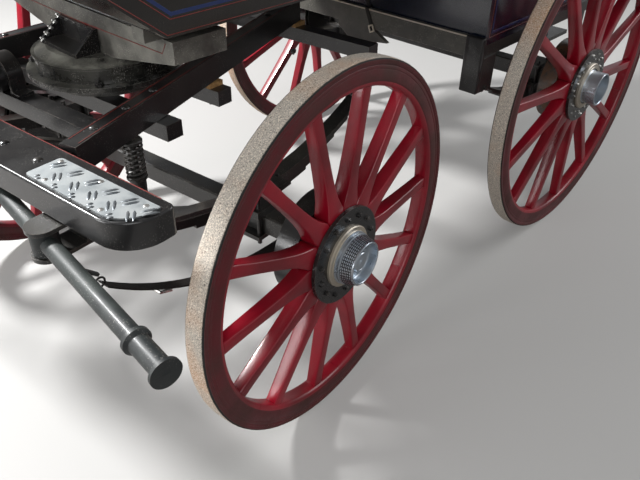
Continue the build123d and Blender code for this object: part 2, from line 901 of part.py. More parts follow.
def make_pole():
    tip_x = pole_root_x + pole_l
    taper = ((pole_root_x, 0), (pole_root_x, pole_root_r), (tip_x, pole_tip_r), (tip_x, 0))
    with BuildPart() as pole:
        with BuildSketch(Plane.XY):
            with BuildLine():
                Polyline(*taper, close=True)
            make_face()
        revolve(axis=Axis.X)
    place(pole.part.moved(Location((0, 0, pole_z))), "pole", True)

    # Saddles that strap the pole to the board and to its bearer
    outer = pole_root_r + saddle_t
    irons = []
    seats = (
        # middle x, top of what the saddle stands on
        (board_rear_x + board_saddle_in, board_top),
        (pole_bearer_x, pole_z - pole_root_r - seat_gap),
    )
    for x, base in seats:
        low = base + seat_gap - pole_z
        rear_face = Plane((x - saddle_w / 2, 0, pole_z), x_dir=(0, 1, 0), z_dir=(1, 0, 0))
        with BuildPart() as saddle:
            with BuildSketch(rear_face):
                Circle(outer)
                with Locations((0, low / 2)):
                    Rectangle(2 * outer, -low)
                with Locations((0, low + saddle_t / 2)):
                    Rectangle(2 * (outer + saddle_foot), saddle_t)
                Circle(pole_root_r + seat_gap, mode=Mode.SUBTRACT)
                with Locations((0, -pole_root_r)):
                    Rectangle(2 * (pole_root_r + seat_gap), 2 * pole_root_r, mode=Mode.SUBTRACT)
            extrude(amount=saddle_w)
        irons.append(saddle.part)

    # Iron head with a cap and a flat eye at each side
    socket_r = pole_tip_r + 2
    shell_r = socket_r + head_shell_t
    profile = (
        # x, radius
        (tip_x - head_socket_l, socket_r),
        (tip_x - head_socket_l, shell_r),
        (tip_x + head_cap_l / 3, shell_r - 1),
        (tip_x + head_cap_l, head_cap_r),
        (tip_x + head_cap_l, 0),
        (tip_x + seat_gap, 0),
        (tip_x + seat_gap, socket_r),
    )
    with BuildPart() as head:
        with BuildSketch(Plane.XY):
            with BuildLine():
                Polyline(*profile, close=True)
            make_face()
        revolve(axis=Axis.X)
        eye_y = shell_r + head_eye_r + head_eye_out
        eyes = [(tip_x - head_eye_back, eye_y), (tip_x - head_eye_back, -eye_y)]
        with BuildSketch(Plane.XY.offset(-head_eye_t / 2)):
            with Locations(*eyes):
                Circle(head_eye_r + head_eye_edge)
        extrude(amount=head_eye_t)
        with BuildSketch(Plane.XY.offset(-head_eye_t)):
            with Locations(*eyes):
                Circle(head_eye_r)
        extrude(amount=2 * head_eye_t, mode=Mode.SUBTRACT)
    irons.append(head.part.moved(Location((0, 0, pole_z))))
    place(Compound(children=irons), "pole_irons", True)


# Body
def make_chassis():
    top = floor_bottom - seat_gap
    low = top - sill_h
    x0 = body_rear_x + 2
    x1 = body_front_x - 2
    outer = rear_spring_y + sill_w / 2
    inner = rear_spring_y - sill_w / 2 - seat_gap
    rail = block(x0, x1, rear_spring_y - sill_w / 2, outer, low, top)
    members = [rail, mirror(rail, about=Plane.XZ)]
    for x in (x1 - sill_w, -wheelbase - sill_w / 2, x0):
        members.append(block(x, x + sill_w, -inner, inner, low, top))
    place(Compound(children=members), "chassis")

    # Sill board across the front wall's foot, with a wedge-shaped plate under it
    front = body_front_x + seat_gap
    sill_low = floor_bottom - sill_h
    board = block(front, front + sill_board_t, -body_half, body_half, sill_low, floor_bottom + floor_t)
    wedge = (
        (wedge_y, sill_low), (wedge_y, sill_low - wedge_h / 2),
        (wedge_y + wedge_l / 4, sill_low - 1.6 * wedge_h),
        (wedge_y + wedge_l, sill_low - wedge_h), (wedge_y + 0.7 * wedge_l, sill_low),
    )
    board += cross_plate(wedge, front, front + sill_board_t)
    place(board, "front_sill")

    # Rear axle and its springs, hung in posts at the front and shackles behind
    place(axle(-wheelbase, rear_axle_z, rear_barrel_end), "rear_axle")
    shape = (rear_pack_low, rear_spring_half, rear_spring_rise)
    place(both_sides(leaf_spring(-wheelbase, rear_spring_y, *shape)), "rear_springs")
    axle_top = rear_axle_z + axle_side / 2
    axle_low = rear_axle_z - axle_side / 2
    plates = (
        # underside, thickness
        (axle_top + seat_gap, clamp_plate_t),
        (rear_pack_top + seat_gap, axle_low - rear_pack_top - 2 * seat_gap),
        (rear_pack_low - seat_gap - clamp_plate_t, clamp_plate_t),
    )
    irons = [
        hanger_post(eye_place(-wheelbase, *shape, 1), rear_spring_y, low),
        shackle(eye_place(-wheelbase, *shape, -1), rear_spring_y, low, 0),
        spring_clamp(-wheelbase, rear_spring_y, plates),
    ]
    place(both_sides(Compound(children=irons)), "rear_spring_irons")

    # Rails under the boot, and the bolster across them over the turntable
    rail_top = boot_bottom - seat_gap
    rail_end = foot_x - 20
    boot_rail = block(body_front_x, rail_end, rail_y, rail_y + rail_w, rail_top - rail_h, rail_top)
    place(both_sides(boot_rail), "boot_rails")
    bolster_top = rail_top - rail_h - seat_gap
    half = bolster_half
    flat = half - bolster_taper
    end_low = bolster_bottom + bolster_end_rise
    outline = (
        (-half, bolster_top), (-half, end_low), (-flat, bolster_bottom),
        (flat, bolster_bottom), (half, end_low), (half, bolster_top),
    )
    place(cross_plate(outline, bolster_rear, bolster_front), "bolster")

    # Bracket in front of the bolster, on the turntable's upper ring
    back = bolster_front + seat_gap
    base = bolster_bottom
    bracket = block(back, bracket_x, -bracket_half, bracket_half, base, base + bracket_t)
    bracket += block(back, back + bracket_t, -bracket_half, bracket_half, base, bracket_top)
    gusset = (
        (back, base), (bracket_x, base), (bracket_x, base + bracket_t),
        (back + bracket_t, bracket_top), (back, bracket_top),
    )
    for y in (-bracket_half + bracket_t, bracket_half):
        bracket += side_plate(gusset, y, y - bracket_t)
    place(bracket, "bolster_bracket")


def make_boot():
    top = boot_bottom + boot_floor_t
    inner = boot_half - panel_t
    half = inner - seat_gap
    side = (
        # x, z round the side of the boot and of the driver's seat
        (body_front_x, boot_bottom),
        (foot_x, boot_bottom),
        (foot_tip_x, foot_tip_z - foot_tip_edge),
        (foot_tip_x - dash_back, foot_tip_z + dash_rise),
        (seat_front_x + cheek_front, seat_top - cheek_drop),
        (seat_front_x, seat_top - seat_side_drop),
        (seat_front_x, seat_top),
        (seat_rear_x, seat_top),
        (seat_rear_x, bench_bottom),
        (body_front_x, bench_bottom),
    )
    place(both_sides(side_plate(side, inner, boot_half)), "boot_sides")

    # Floor, and the board that slopes up for the driver's feet
    rise = foot_tip_z - foot_tip_edge - boot_bottom
    slope = atan2(rise, foot_tip_x - foot_x)
    run = hypot(rise, foot_tip_x - foot_x)
    floor = block(body_front_x, foot_x, -half, half, boot_bottom, top)
    sloped = Plane((foot_x, 0, boot_bottom), x_dir=(0, 1, 0), z_dir=(-sin(slope), 0, cos(slope)))
    with BuildPart() as board:
        with BuildSketch(sloped):
            with Locations((0, -run / 2 - boot_floor_t / 4)):
                Rectangle(2 * half, run - boot_floor_t)
        extrude(amount=boot_floor_t)
    place(Compound(children=[floor, board.part]), "boot_floor")

    # Driver's box: two risers, the seat board and the deck behind it
    deck_top = bench_bottom
    front = seat_front_x
    rear = seat_rear_x
    over = boot_half + seat_over
    low = top + seat_gap
    solids = [
        block(front - panel_t, front, -half, half, low, seat_top - seat_gap),
        block(rear, rear + panel_t, -half, half, low, seat_top - seat_gap),
        block(rear - 6, front + seat_overhang, -over, over, seat_top + seat_gap, seat_top + panel_t),
        block(body_front_x + seat_gap, rear - seat_gap, -half, half, deck_top - panel_t, deck_top),
    ]
    place(Compound(children=solids), "driver_box")


def make_body():
    inner = body_half - panel_t
    floor_top = floor_bottom + floor_t
    x0 = body_rear_x + panel_t + seat_gap
    x1 = body_front_x - panel_t - seat_gap
    bench_top = bench_bottom + bench_t
    back_inner = bench_outer_y - panel_t
    place(block(x0, x1, -inner + seat_gap, inner - seat_gap, floor_bottom, floor_top), "body_floor")
    lower = block(x0, x1, inner, body_half, floor_bottom, bench_bottom - seat_gap)
    place(both_sides(lower), "body_sides")
    upper = block(x0, x1, back_inner, bench_outer_y, bench_top + seat_gap, bench_back_top)
    place(both_sides(upper), "bench_backs")
    board = block(x0, x1, bench_inner_y, bench_outer_y, bench_bottom, bench_top)
    riser_y = bench_inner_y + bench_nosing
    riser = block(x0, x1, riser_y, riser_y + riser_t, floor_top + seat_gap, bench_bottom - seat_gap)
    place(both_sides(Compound(children=[board, riser])), "benches")

    wall = (
        # y, z round the wall between the driver and the passengers
        (-body_half, floor_bottom), (body_half, floor_bottom), (body_half, bench_bottom),
        (bench_outer_y, bench_bottom), (bench_outer_y, bench_back_top), (-bench_outer_y, bench_back_top),
        (-bench_outer_y, bench_bottom), (-body_half, bench_bottom),
    )
    place(cross_plate(wall, body_front_x - panel_t, body_front_x), "front_wall")
    half_wall = (
        (door_half, floor_bottom), (body_half, floor_bottom), (body_half, bench_bottom),
        (bench_outer_y, bench_bottom), (bench_outer_y, bench_back_top), (door_half, door_top),
    )
    place(both_sides(cross_plate(half_wall, body_rear_x, body_rear_x + panel_t)), "rear_walls")

    # Cushions
    seat_z = bench_top + seat_gap
    seat = block(x0 + cushion_edge, x1 - cushion_edge, bench_inner_y + cushion_edge, back_inner - 3,
                 seat_z, seat_z + cushion_t)
    back = block(x0 + back_edge, x1 - back_edge, back_inner - back_t, back_inner - seat_gap,
                 seat_z + cushion_t + 2, bench_back_top - 8)
    place(both_sides(Compound(children=[seat, back])), "bench_cushions")
    driver_z = seat_top + panel_t + seat_gap
    back_z = driver_z + cushion_t + driver_back_gap
    back_x = seat_rear_x - 6
    cushion = block(seat_rear_x + 6, seat_front_x + 14, -boot_half, boot_half,
                    driver_z, driver_z + cushion_t)
    place(cushion, "driver_cushion")
    back_half = boot_half - driver_back_in
    back = block(back_x, back_x + back_t, -back_half, back_half, back_z, back_z + driver_back_h)
    place(back, "driver_back")

    # Irons that carry the driver's back and close the seat's ends
    r = seat_arm_r
    arm_y = boot_half + seat_arm_out
    arm_z = driver_z + seat_arm_h
    arm_rear = seat_rear_x + 16
    arm_front = seat_front_x - 40
    post_x = back_x - seat_gap
    post_y = back_half - seat_post_in
    post = block(post_x - seat_post_t, post_x, post_y - seat_post_w, post_y,
                 seat_top - seat_post_below, back_z + driver_back_h - 20)
    arm = block(arm_rear - r, arm_front + r, arm_y - r, arm_y + r, arm_z - r, arm_z + r)
    for x in (arm_rear, arm_front):
        arm += block(x - r, x + r, arm_y - r, arm_y + r, driver_z, arm_z)
    place(both_sides(Compound(children=[post, arm])), "seat_irons")


def make_door():
    hinge_y = -door_half
    hinge_x = body_rear_x - hinge_barrel_r - 1
    low = floor_bottom + floor_t + door_edge
    high = door_top - door_edge
    heights = (low + hinge_low, high - hinge_high)
    with BuildPart() as door:
        with BuildSketch(Plane.XY.offset(low)):
            with Locations((body_rear_x + panel_t / 2, 0)):
                Rectangle(panel_t, 2 * (door_half - door_gap))
        extrude(amount=high - low)
        for z in heights:
            with BuildSketch(Plane.XY.offset(z)):
                with Locations((hinge_x, hinge_y)):
                    Circle(hinge_barrel_r)
                with Locations(((hinge_x + body_rear_x) / 2, hinge_y + 1 + hinge_leaf_in / 2)):
                    Rectangle(body_rear_x - hinge_x + 4, hinge_leaf_in - 2)
            extrude(amount=hinge_barrel_l)
            with BuildSketch(Plane.XY.offset(z)):
                with Locations((hinge_x, hinge_y)):
                    Circle(hinge_pin_r + running_gap)
            extrude(amount=hinge_barrel_l, mode=Mode.SUBTRACT)
    place(door.part, "rear_door")
    ear_x = body_rear_x - seat_gap
    pin_out = hinge_ear_l + 2 * hinge_ear_gap
    hinges = []
    for z in heights:
        with BuildPart() as hinge:
            with BuildSketch(Plane.XY.offset(z - pin_out)):
                with Locations((hinge_x, hinge_y)):
                    Circle(hinge_pin_r)
            extrude(amount=hinge_barrel_l + 2 * pin_out)
            for ear in (z - hinge_ear_gap - hinge_ear_l, z + hinge_barrel_l + hinge_ear_gap):
                with BuildSketch(Plane.XY.offset(ear)):
                    with Locations((hinge_x, hinge_y)):
                        Circle(hinge_barrel_r)
                    with Locations(((hinge_x + ear_x) / 2, hinge_y - hinge_leaf_out / 2)):
                        Rectangle(ear_x - hinge_x, hinge_leaf_out)
                extrude(amount=hinge_ear_l)
        hinges.append(hinge.part)
    place(Compound(children=hinges), "door_hinges")

    # Rose, spindle and a lever that points back towards the hinges
    handle_y = door_half - handle_in
    with BuildPart() as handle:
        for radius, reach in ((handle_rose_r, 5), (handle_rose_r / 3, 30)):
            with BuildSketch(Plane((ear_x, handle_y, handle_z), z_dir=(-1, 0, 0))):
                Circle(radius)
            extrude(amount=reach)
        with BuildSketch(Plane((ear_x - 22, handle_y, handle_z), x_dir=(0, 1, 0), z_dir=(-1, 0, 0))):
            with Locations((-handle_l / 2 + 10, 0)):
                SlotOverall(handle_l, 16)
        extrude(amount=10)
    place(handle.part, "door_handle")


def make_step():
    top = floor_bottom - seat_gap - sill_h - seat_gap
    iron_x = body_rear_x + sill_w / 2
    near = body_rear_x - step_near
    step = block(body_rear_x - step_far, near, -step_half, step_half, step_z, step_z + step_t)
    outline = (
        # x, z round the iron that hangs the step from the rear cross member
        (iron_x - step_iron_w / 2, top),
        (iron_x + step_iron_w / 2, top),
        (near, step_z),
        (near - step_lap, step_z),
        (near - step_lap, step_z + step_t),
    )
    for side in (1, -1):
        y = side * (step_half - step_iron_in)
        step += side_plate(outline, y + step_iron_t / 2, y - step_iron_t / 2)
    place(step, "rear_step")


make_wheels()
make_fore_frame()
make_turntable()
make_splinter_board()
make_swingletrees()
make_check_straps()
make_front_suspension()
make_pole()
make_chassis()
make_boot()
make_body()
make_door()
make_step()
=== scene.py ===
# %% [markdown]
# A pair-horse wagonette on four spoked wheels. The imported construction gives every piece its
# place, and this file gives each one its finish and its finer forms. All lengths are metres.
# The fore-carriage stands a little turned, so pieces on it are laid out straight ahead first and
# then carried round by one matrix, which keeps every measure a plain number.

# %% Load the construction
import json
from math import atan2, cos, degrees, hypot, pi, radians, sin

import bpy
from mathutils import Matrix, Vector


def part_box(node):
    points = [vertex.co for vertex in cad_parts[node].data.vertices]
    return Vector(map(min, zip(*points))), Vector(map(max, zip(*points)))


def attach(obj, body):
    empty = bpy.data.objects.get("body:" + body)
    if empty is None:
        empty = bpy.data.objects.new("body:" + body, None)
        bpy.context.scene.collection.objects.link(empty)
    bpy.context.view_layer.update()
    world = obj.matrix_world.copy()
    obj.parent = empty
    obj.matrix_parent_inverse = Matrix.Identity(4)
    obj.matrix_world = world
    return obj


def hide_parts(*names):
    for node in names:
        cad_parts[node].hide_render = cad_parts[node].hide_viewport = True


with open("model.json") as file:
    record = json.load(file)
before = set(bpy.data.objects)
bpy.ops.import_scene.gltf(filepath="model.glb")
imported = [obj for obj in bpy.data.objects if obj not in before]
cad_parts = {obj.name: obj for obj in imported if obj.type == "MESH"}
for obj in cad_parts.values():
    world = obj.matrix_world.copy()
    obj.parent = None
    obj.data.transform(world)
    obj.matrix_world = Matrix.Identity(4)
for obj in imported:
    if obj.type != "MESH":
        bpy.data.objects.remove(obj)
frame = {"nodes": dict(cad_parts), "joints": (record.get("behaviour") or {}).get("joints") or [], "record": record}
nodes = frame["nodes"]
joints = {joint["name"]: joint for joint in frame["joints"]}
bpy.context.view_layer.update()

# %% [markdown]
# The forms made further down are placed from the two axles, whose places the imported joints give.
# The front axle is turned with its fore-carriage, so each end has its own matrix from plain
# carriage metres.

# %% Find the two axles
CORNERS = [(end, side) for end in ("front", "rear") for side in ("left", "right")]
wheel_at = {(end, side): Vector(joints[f"{end}_{side}_wheel_spin"]["pos_m"]) for end, side in CORNERS}
axle_x, axle_y, _ = joints["front_left_wheel_spin"]["axis"]
turn = atan2(-axle_x, axle_y)
front_axle = (wheel_at["front", "left"] + wheel_at["front", "right"]) / 2
rear_axle = (wheel_at["rear", "left"] + wheel_at["rear", "right"]) / 2
wheelbase = 1.345
ON_FORE = Matrix.Translation((front_axle.x, front_axle.y, 0)) @ Matrix.Rotation(turn, 4, "Z")
ON_BODY = Matrix.Translation((rear_axle.x + wheelbase, rear_axle.y, 0))
MIRROR = Matrix.Scale(-1, 4, (0, 1, 0))
print("the fore-carriage is turned by", round(degrees(turn), 2), "degrees")

# %% [markdown]
# The photograph was taken standing in front of the near wheel and looking down. A camera could be
# placed by eye, but here its place, heading, tilt and lens were worked out once from the round
# wheels and hubs, so the picture lines up with the photograph.

# %% Camera
EYE = (0.6337, 1.4126, 1.4190)
HEADING, TILT, ROLL = radians(132.26), radians(54.39), radians(1.17)
LENS = 36.23
camera_data = bpy.data.cameras.new("camera")
camera_data.lens = LENS
camera_data.sensor_width = 36
camera = bpy.data.objects.new("camera", camera_data)
bpy.context.scene.collection.objects.link(camera)
camera.matrix_world = (
    Matrix.Translation(EYE)
    @ Matrix.Rotation(HEADING, 4, "Z")
    @ Matrix.Rotation(TILT, 4, "X")
    @ Matrix.Rotation(ROLL, 4, "Z")
)
bpy.context.scene.camera = camera
bpy.context.scene.view_settings.view_transform = "Standard"
print("the camera stands", round(camera.location.z, 2), "m above the floor")

# %% [markdown]
# Every surface below is made with a handful of nodes. One small helper adds a node, sets its
# values and links its sockets, so that a material reads as a list of what it is made of.

# %% Node helpers
def add(tree, kind, inputs=(), **settings):
    new = tree.nodes.new(kind)
    for key, value in settings.items():
        setattr(new, key, value)
    for key, value in dict(inputs).items():
        if isinstance(value, bpy.types.NodeSocket):
            tree.links.new(value, new.inputs[key])
        else:
            new.inputs[key].default_value = value
    return new


def math(tree, operation, first, second=0.0, clamp=False):
    return add(tree, "ShaderNodeMath", {0: first, 1: second}, operation=operation, use_clamp=clamp).outputs[0]


def mixed(tree, factor, first, second):
    """Colour first, turning into second where factor is 1."""
    return add(tree, "ShaderNodeMix", {0: factor, 6: first, 7: second}, data_type="RGBA").outputs[2]


def between(tree, value, low, high, to_low=0.0, to_high=1.0):
    inputs = {"Value": value, "From Min": low, "From Max": high, "To Min": to_low, "To Max": to_high}
    return add(tree, "ShaderNodeMapRange", inputs).outputs[0]


def noise(tree, place, scale, detail):
    """A cloudy pattern between 0 and 1."""
    return add(tree, "ShaderNodeTexNoise", {"Vector": place, "Scale": scale, "Detail": detail}).outputs["Fac"]


def rgb(red, green, blue):
    return (red, green, blue, 1.0)


def start_group(name, inputs, output):
    """A node group with named float inputs and one output."""
    group = bpy.data.node_groups.new(name, "ShaderNodeTree")
    for socket, value in inputs.items():
        made = group.interface.new_socket(name=socket, in_out="INPUT", socket_type="NodeSocketFloat")
        made.default_value = value
    group.interface.new_socket(name=output, in_out="OUTPUT", socket_type="NodeSocketFloat")
    entry = group.nodes.new("NodeGroupInput")
    leave = group.nodes.new("NodeGroupOutput")
    return group, entry.outputs, leave.inputs


# %% [markdown]
# Dust settles on faces that look up and clings in patches everywhere else. It could be painted by
# hand, but a mask worked out from the direction of each face and a cloudy noise covers all the
# pieces alike. The normal is the object's own, so the dust stays put when a wheel turns.

# %% Dust mask
dust_group, given, made = start_group("road_dust", {"Amount": 0.5, "Up": 0.7, "Scale": 9.0}, "Mask")
place = add(dust_group, "ShaderNodeTexCoord")
facing = add(dust_group, "ShaderNodeSeparateXYZ", {0: place.outputs["Normal"]}).outputs["Z"]
upward = between(dust_group, facing, 0.0, 0.9)
level = math(dust_group, "ADD", math(dust_group, "MULTIPLY", upward, given["Up"]),
             math(dust_group, "SUBTRACT", 1.0, given["Up"]))
clouds = add(dust_group, "ShaderNodeTexNoise", {
    "Vector": place.outputs["Object"], "Scale": given["Scale"], "Detail": 6.0, "Roughness": 0.65})
cover = between(dust_group, clouds.outputs["Fac"], 0.38, 0.68)
dusty = math(dust_group, "MULTIPLY", math(dust_group, "MULTIPLY", cover, level), given["Amount"], clamp=True)
dust_group.links.new(dusty, made["Mask"])

# %% [markdown]
# Dried splashes and grit show as fine pale dots. Small cells of a Voronoi pattern, thinned out by
# a second noise, give dots that gather in places as real splashes do.

# %% Speckle mask
speckle_group, given, made = start_group("speckles", {"Amount": 0.5, "Scale": 260.0}, "Mask")
place = add(speckle_group, "ShaderNodeTexCoord")
cells = add(speckle_group, "ShaderNodeTexVoronoi", {
    "Vector": place.outputs["Object"], "Scale": given["Scale"]})
dots = between(speckle_group, cells.outputs["Distance"], 0.30, 0.16)
gather = add(speckle_group, "ShaderNodeTexNoise", {
    "Vector": place.outputs["Object"], "Scale": 22.0, "Detail": 4.0})
where = between(speckle_group, gather.outputs["Fac"], 0.45, 0.62)
gathered = math(speckle_group, "MULTIPLY", dots, where)
spots = math(speckle_group, "MULTIPLY", gathered, given["Amount"], clamp=True)
speckle_group.links.new(spots, made["Mask"])

# %% [markdown]
# Paint goes first on the edges. The Bevel node gives the normal that a rounded edge would have,
# and where it parts from the true normal there is an edge, broken up here by noise.

# %% Edge mask
edge_group, given, made = start_group("edge_wear", {"Amount": 0.5, "Radius": 0.003}, "Mask")
rounded = add(edge_group, "ShaderNodeBevel", {"Radius": given["Radius"]}, samples=4)
true_normal = add(edge_group, "ShaderNodeNewGeometry")
alike = add(edge_group, "ShaderNodeVectorMath",
            {0: rounded.outputs[0], 1: true_normal.outputs["Normal"]}, operation="DOT_PRODUCT")
edge = between(edge_group, alike.outputs["Value"], 0.97, 0.75)
place = add(edge_group, "ShaderNodeTexCoord")
broken = add(edge_group, "ShaderNodeTexNoise", {
    "Vector": place.outputs["Object"], "Scale": 60.0, "Detail": 5.0, "Roughness": 0.7})
rubbed = between(edge_group, broken.outputs["Fac"], 0.42, 0.62)
worn = math(edge_group, "MULTIPLY", math(edge_group, "MULTIPLY", edge, rubbed), given["Amount"], clamp=True)
edge_group.links.new(worn, made["Mask"])


# %% [markdown]
# Nearly every surface is a coat of paint with the same history: a slightly uneven colour, dust on
# it, splashes on that, and edges rubbed through. One recipe takes those as values, so that the
# crimson, the black and the blue differ by numbers and not by separate node trees.

# %% Paint recipe
def group_mask(tree, group, **values):
    used = add(tree, "ShaderNodeGroup", node_tree=group)
    for socket, value in values.items():
        used.inputs[socket].default_value = value
    return used.outputs["Mask"]


def painted(name, colour, shade, rough, coat, dust, dust_colour, up=0.7, speckles=0.3,
            worn=0.3, worn_colour=rgb(0.30, 0.26, 0.22), peel=0.03, clouds=7.0):
    """Coat of paint in two close shades, dusty, splashed and worn at its edges."""
    material = bpy.data.materials.new(name)
    material.use_nodes = True
    tree = material.node_tree
    shader = tree.nodes["Principled BSDF"]
    place = add(tree, "ShaderNodeTexCoord").outputs["Object"]
    patches = noise(tree, place, clouds, 5.0)
    tone = mixed(tree, between(tree, patches, 0.35, 0.65), colour, shade)
    dust_mask = group_mask(tree, dust_group, Amount=dust, Up=up, Scale=9.0)
    tone = mixed(tree, dust_mask, tone, dust_colour)
    spot_mask = group_mask(tree, speckle_group, Amount=speckles, Scale=260.0)
    tone = mixed(tree, spot_mask, tone, rgb(0.42, 0.40, 0.36))
    edge_mask = group_mask(tree, edge_group, Amount=worn, Radius=0.003)
    tone = mixed(tree, edge_mask, tone, worn_colour)
    tree.links.new(tone, shader.inputs["Base Color"])
    dull = math(tree, "MAXIMUM", dust_mask, math(tree, "MAXIMUM", spot_mask, edge_mask))
    tree.links.new(between(tree, dull, 0.0, 0.8, rough, 0.75), shader.inputs["Roughness"])
    tree.links.new(between(tree, dull, 0.0, 0.6, coat, 0.0), shader.inputs["Coat Weight"])
    shader.inputs["Coat Roughness"].default_value = 0.12
    skin = noise(tree, place, 320.0, 3.0)
    raised = math(tree, "ADD", skin, math(tree, "MULTIPLY", dust_mask, 0.8))
    bump = add(tree, "ShaderNodeBump", {"Strength": peel * 4, "Distance": 0.002, "Height": raised})
    tree.links.new(bump.outputs[0], shader.inputs["Normal"])
    return material


# %% [markdown]
# The wheels are crimson, the body a blue that is nearly black, and the frame and the ironwork
# black. The black differs from piece to piece: bright on the splinter board, grey with dust on
# the bolster and the turntable. One black for all would be simpler, but it would lose the wear.

# %% Paints of this carriage
DRY_DUST = rgb(0.27, 0.23, 0.18)
crimson = painted("crimson_gloss", rgb(0.360, 0.003, 0.019), rgb(0.160, 0.001, 0.008), 0.30, 0.35,
                  dust=0.22, dust_colour=rgb(0.075, 0.022, 0.016), up=0.3, speckles=0.04, worn=0.30,
                  worn_colour=rgb(0.13, 0.035, 0.025), clouds=5.0)
# The rim's crimson is much darker than the spokes'. It is partly road film and dust, and partly painted shade,
# because the felloe's face lay in shade.
rim_crimson_dust_and_shade = painted("rim_crimson_dust_and_shade", rgb(0.105, 0.002, 0.007), rgb(0.060, 0.002, 0.005), 0.36, 0.2,
                      dust=0.55, dust_colour=rgb(0.060, 0.028, 0.020), up=0.0, speckles=0.06, worn=0.4,
                      worn_colour=rgb(0.16, 0.06, 0.045), clouds=9.0)
black_gloss = painted("black_gloss", rgb(0.006, 0.006, 0.007), rgb(0.011, 0.010, 0.010), 0.30, 0.30,
                      dust=0.16, dust_colour=rgb(0.055, 0.052, 0.045), up=0.85, speckles=0.22,
                      worn=0.4, peel=0.008)
bolster_black = painted("dusty_black", rgb(0.040, 0.038, 0.033), rgb(0.075, 0.071, 0.062), 0.42, 0.2,
                        dust=0.95, dust_colour=rgb(0.33, 0.32, 0.275), up=0.4, speckles=0.9, worn=0.7,
                        worn_colour=rgb(0.48, 0.46, 0.42), clouds=30.0)
ring_black = painted("ring_black", rgb(0.012, 0.012, 0.011), rgb(0.030, 0.029, 0.026), 0.24, 0.4,
                     dust=1.0, dust_colour=rgb(0.42, 0.41, 0.35), up=0.80, speckles=0.9, worn=0.6,
                     worn_colour=rgb(0.48, 0.46, 0.42), clouds=20.0)
iron_black = painted("iron_black", rgb(0.006, 0.006, 0.007), rgb(0.012, 0.011, 0.011), 0.26, 0.35,
                     dust=0.24, dust_colour=rgb(0.10, 0.09, 0.075), up=0.8, speckles=0.3, worn=0.5)
spring_black = painted("spring_black", rgb(0.007, 0.007, 0.008), rgb(0.015, 0.014, 0.013), 0.32, 0.3,
                       dust=0.40, dust_colour=rgb(0.10, 0.09, 0.07), up=0.75, speckles=0.35, worn=0.6)
tree_black = painted("tree_black", rgb(0.006, 0.008, 0.009), rgb(0.013, 0.017, 0.017), 0.50, 0.05,
                     dust=0.35, dust_colour=rgb(0.10, 0.12, 0.108), up=0.8, speckles=0.35, worn=0.2)
navy = painted("navy_gloss", rgb(0.003, 0.006, 0.020), rgb(0.005, 0.008, 0.018), 0.12, 0.8,
               dust=0.20, dust_colour=rgb(0.08, 0.075, 0.06), up=0.85, speckles=0.08, worn=0.15)
boot_black = painted("boot_black", rgb(0.010, 0.008, 0.007), rgb(0.015, 0.012, 0.010), 0.20, 0.55,
                     dust=0.22, dust_colour=rgb(0.08, 0.07, 0.06), up=0.85, speckles=0.08, worn=0.2)
sill_grey = painted("sill_grey", rgb(0.030, 0.029, 0.025), rgb(0.05, 0.047, 0.041), 0.45, 0.15,
                    dust=0.75, dust_colour=rgb(0.16, 0.15, 0.125), up=0.35, speckles=0.5, worn=0.9,
                    worn_colour=rgb(0.52, 0.50, 0.45))
lining_red = painted("lining_red", rgb(0.24, 0.018, 0.014), rgb(0.15, 0.014, 0.010), 0.35, 0.2,
                     dust=0.25, dust_colour=rgb(0.10, 0.07, 0.055), speckles=0.1, worn=0.2)
lining_blue = painted("lining_blue", rgb(0.003, 0.022, 0.12), rgb(0.003, 0.016, 0.09), 0.22, 0.6,
                      dust=0.12, dust_colour=DRY_DUST, speckles=0.04, worn=0.1)
print(len(bpy.data.materials), "materials so far")

# %% [markdown]
# The tyre is the one surface with no paint. Its tread is covered in pale tan grit, greyer in
# patches, and its sides stay black rubber, with a ragged line where the grit ends. The object's
# own normal tells tread from side, and noise breaks up the line between them.

# %% Tyre rubber
def tyre_material():
    material = bpy.data.materials.new("gritty_rubber")
    material.use_nodes = True
    tree = material.node_tree
    shader = tree.nodes["Principled BSDF"]
    place = add(tree, "ShaderNodeTexCoord")
    spot = place.outputs["Object"]
    across = add(tree, "ShaderNodeVectorMath", {
        0: place.outputs["Normal"], 1: (0.0, 1.0, 0.0)}, operation="DOT_PRODUCT").outputs["Value"]
    sideways = math(tree, "ABSOLUTE", across)
    grit = noise(tree, spot, 380.0, 3.0)
    ragged = math(tree, "ADD", sideways, math(tree, "MULTIPLY", grit, 0.5))
    tread = between(tree, ragged, 0.85, 0.72)
    patches = add(tree, "ShaderNodeTexNoise", {"Vector": spot, "Scale": 4.0, "Detail": 6.0, "Roughness": 0.6})
    rust = between(tree, patches.outputs["Fac"], 0.42, 0.62)
    ground = mixed(tree, rust, rgb(0.48, 0.43, 0.37), rgb(0.60, 0.37, 0.23))
    pale = between(tree, grit, 0.50, 0.66)
    ground = mixed(tree, pale, ground, rgb(0.84, 0.75, 0.64))
    pits = between(tree, grit, 0.40, 0.30)
    ground = mixed(tree, pits, ground, rgb(0.09, 0.075, 0.065))
    tone = mixed(tree, tread, rgb(0.018, 0.017, 0.016), ground)
    tree.links.new(tone, shader.inputs["Base Color"])
    shader.inputs["Roughness"].default_value = 0.85
    coarse = noise(tree, spot, 160.0, 4.0)
    raised = math(tree, "ADD", grit, coarse)
    bump = add(tree, "ShaderNodeBump", {"Strength": 0.5, "Distance": 0.002, "Height": raised})
    tree.links.new(bump.outputs[0], shader.inputs["Normal"])
    return material
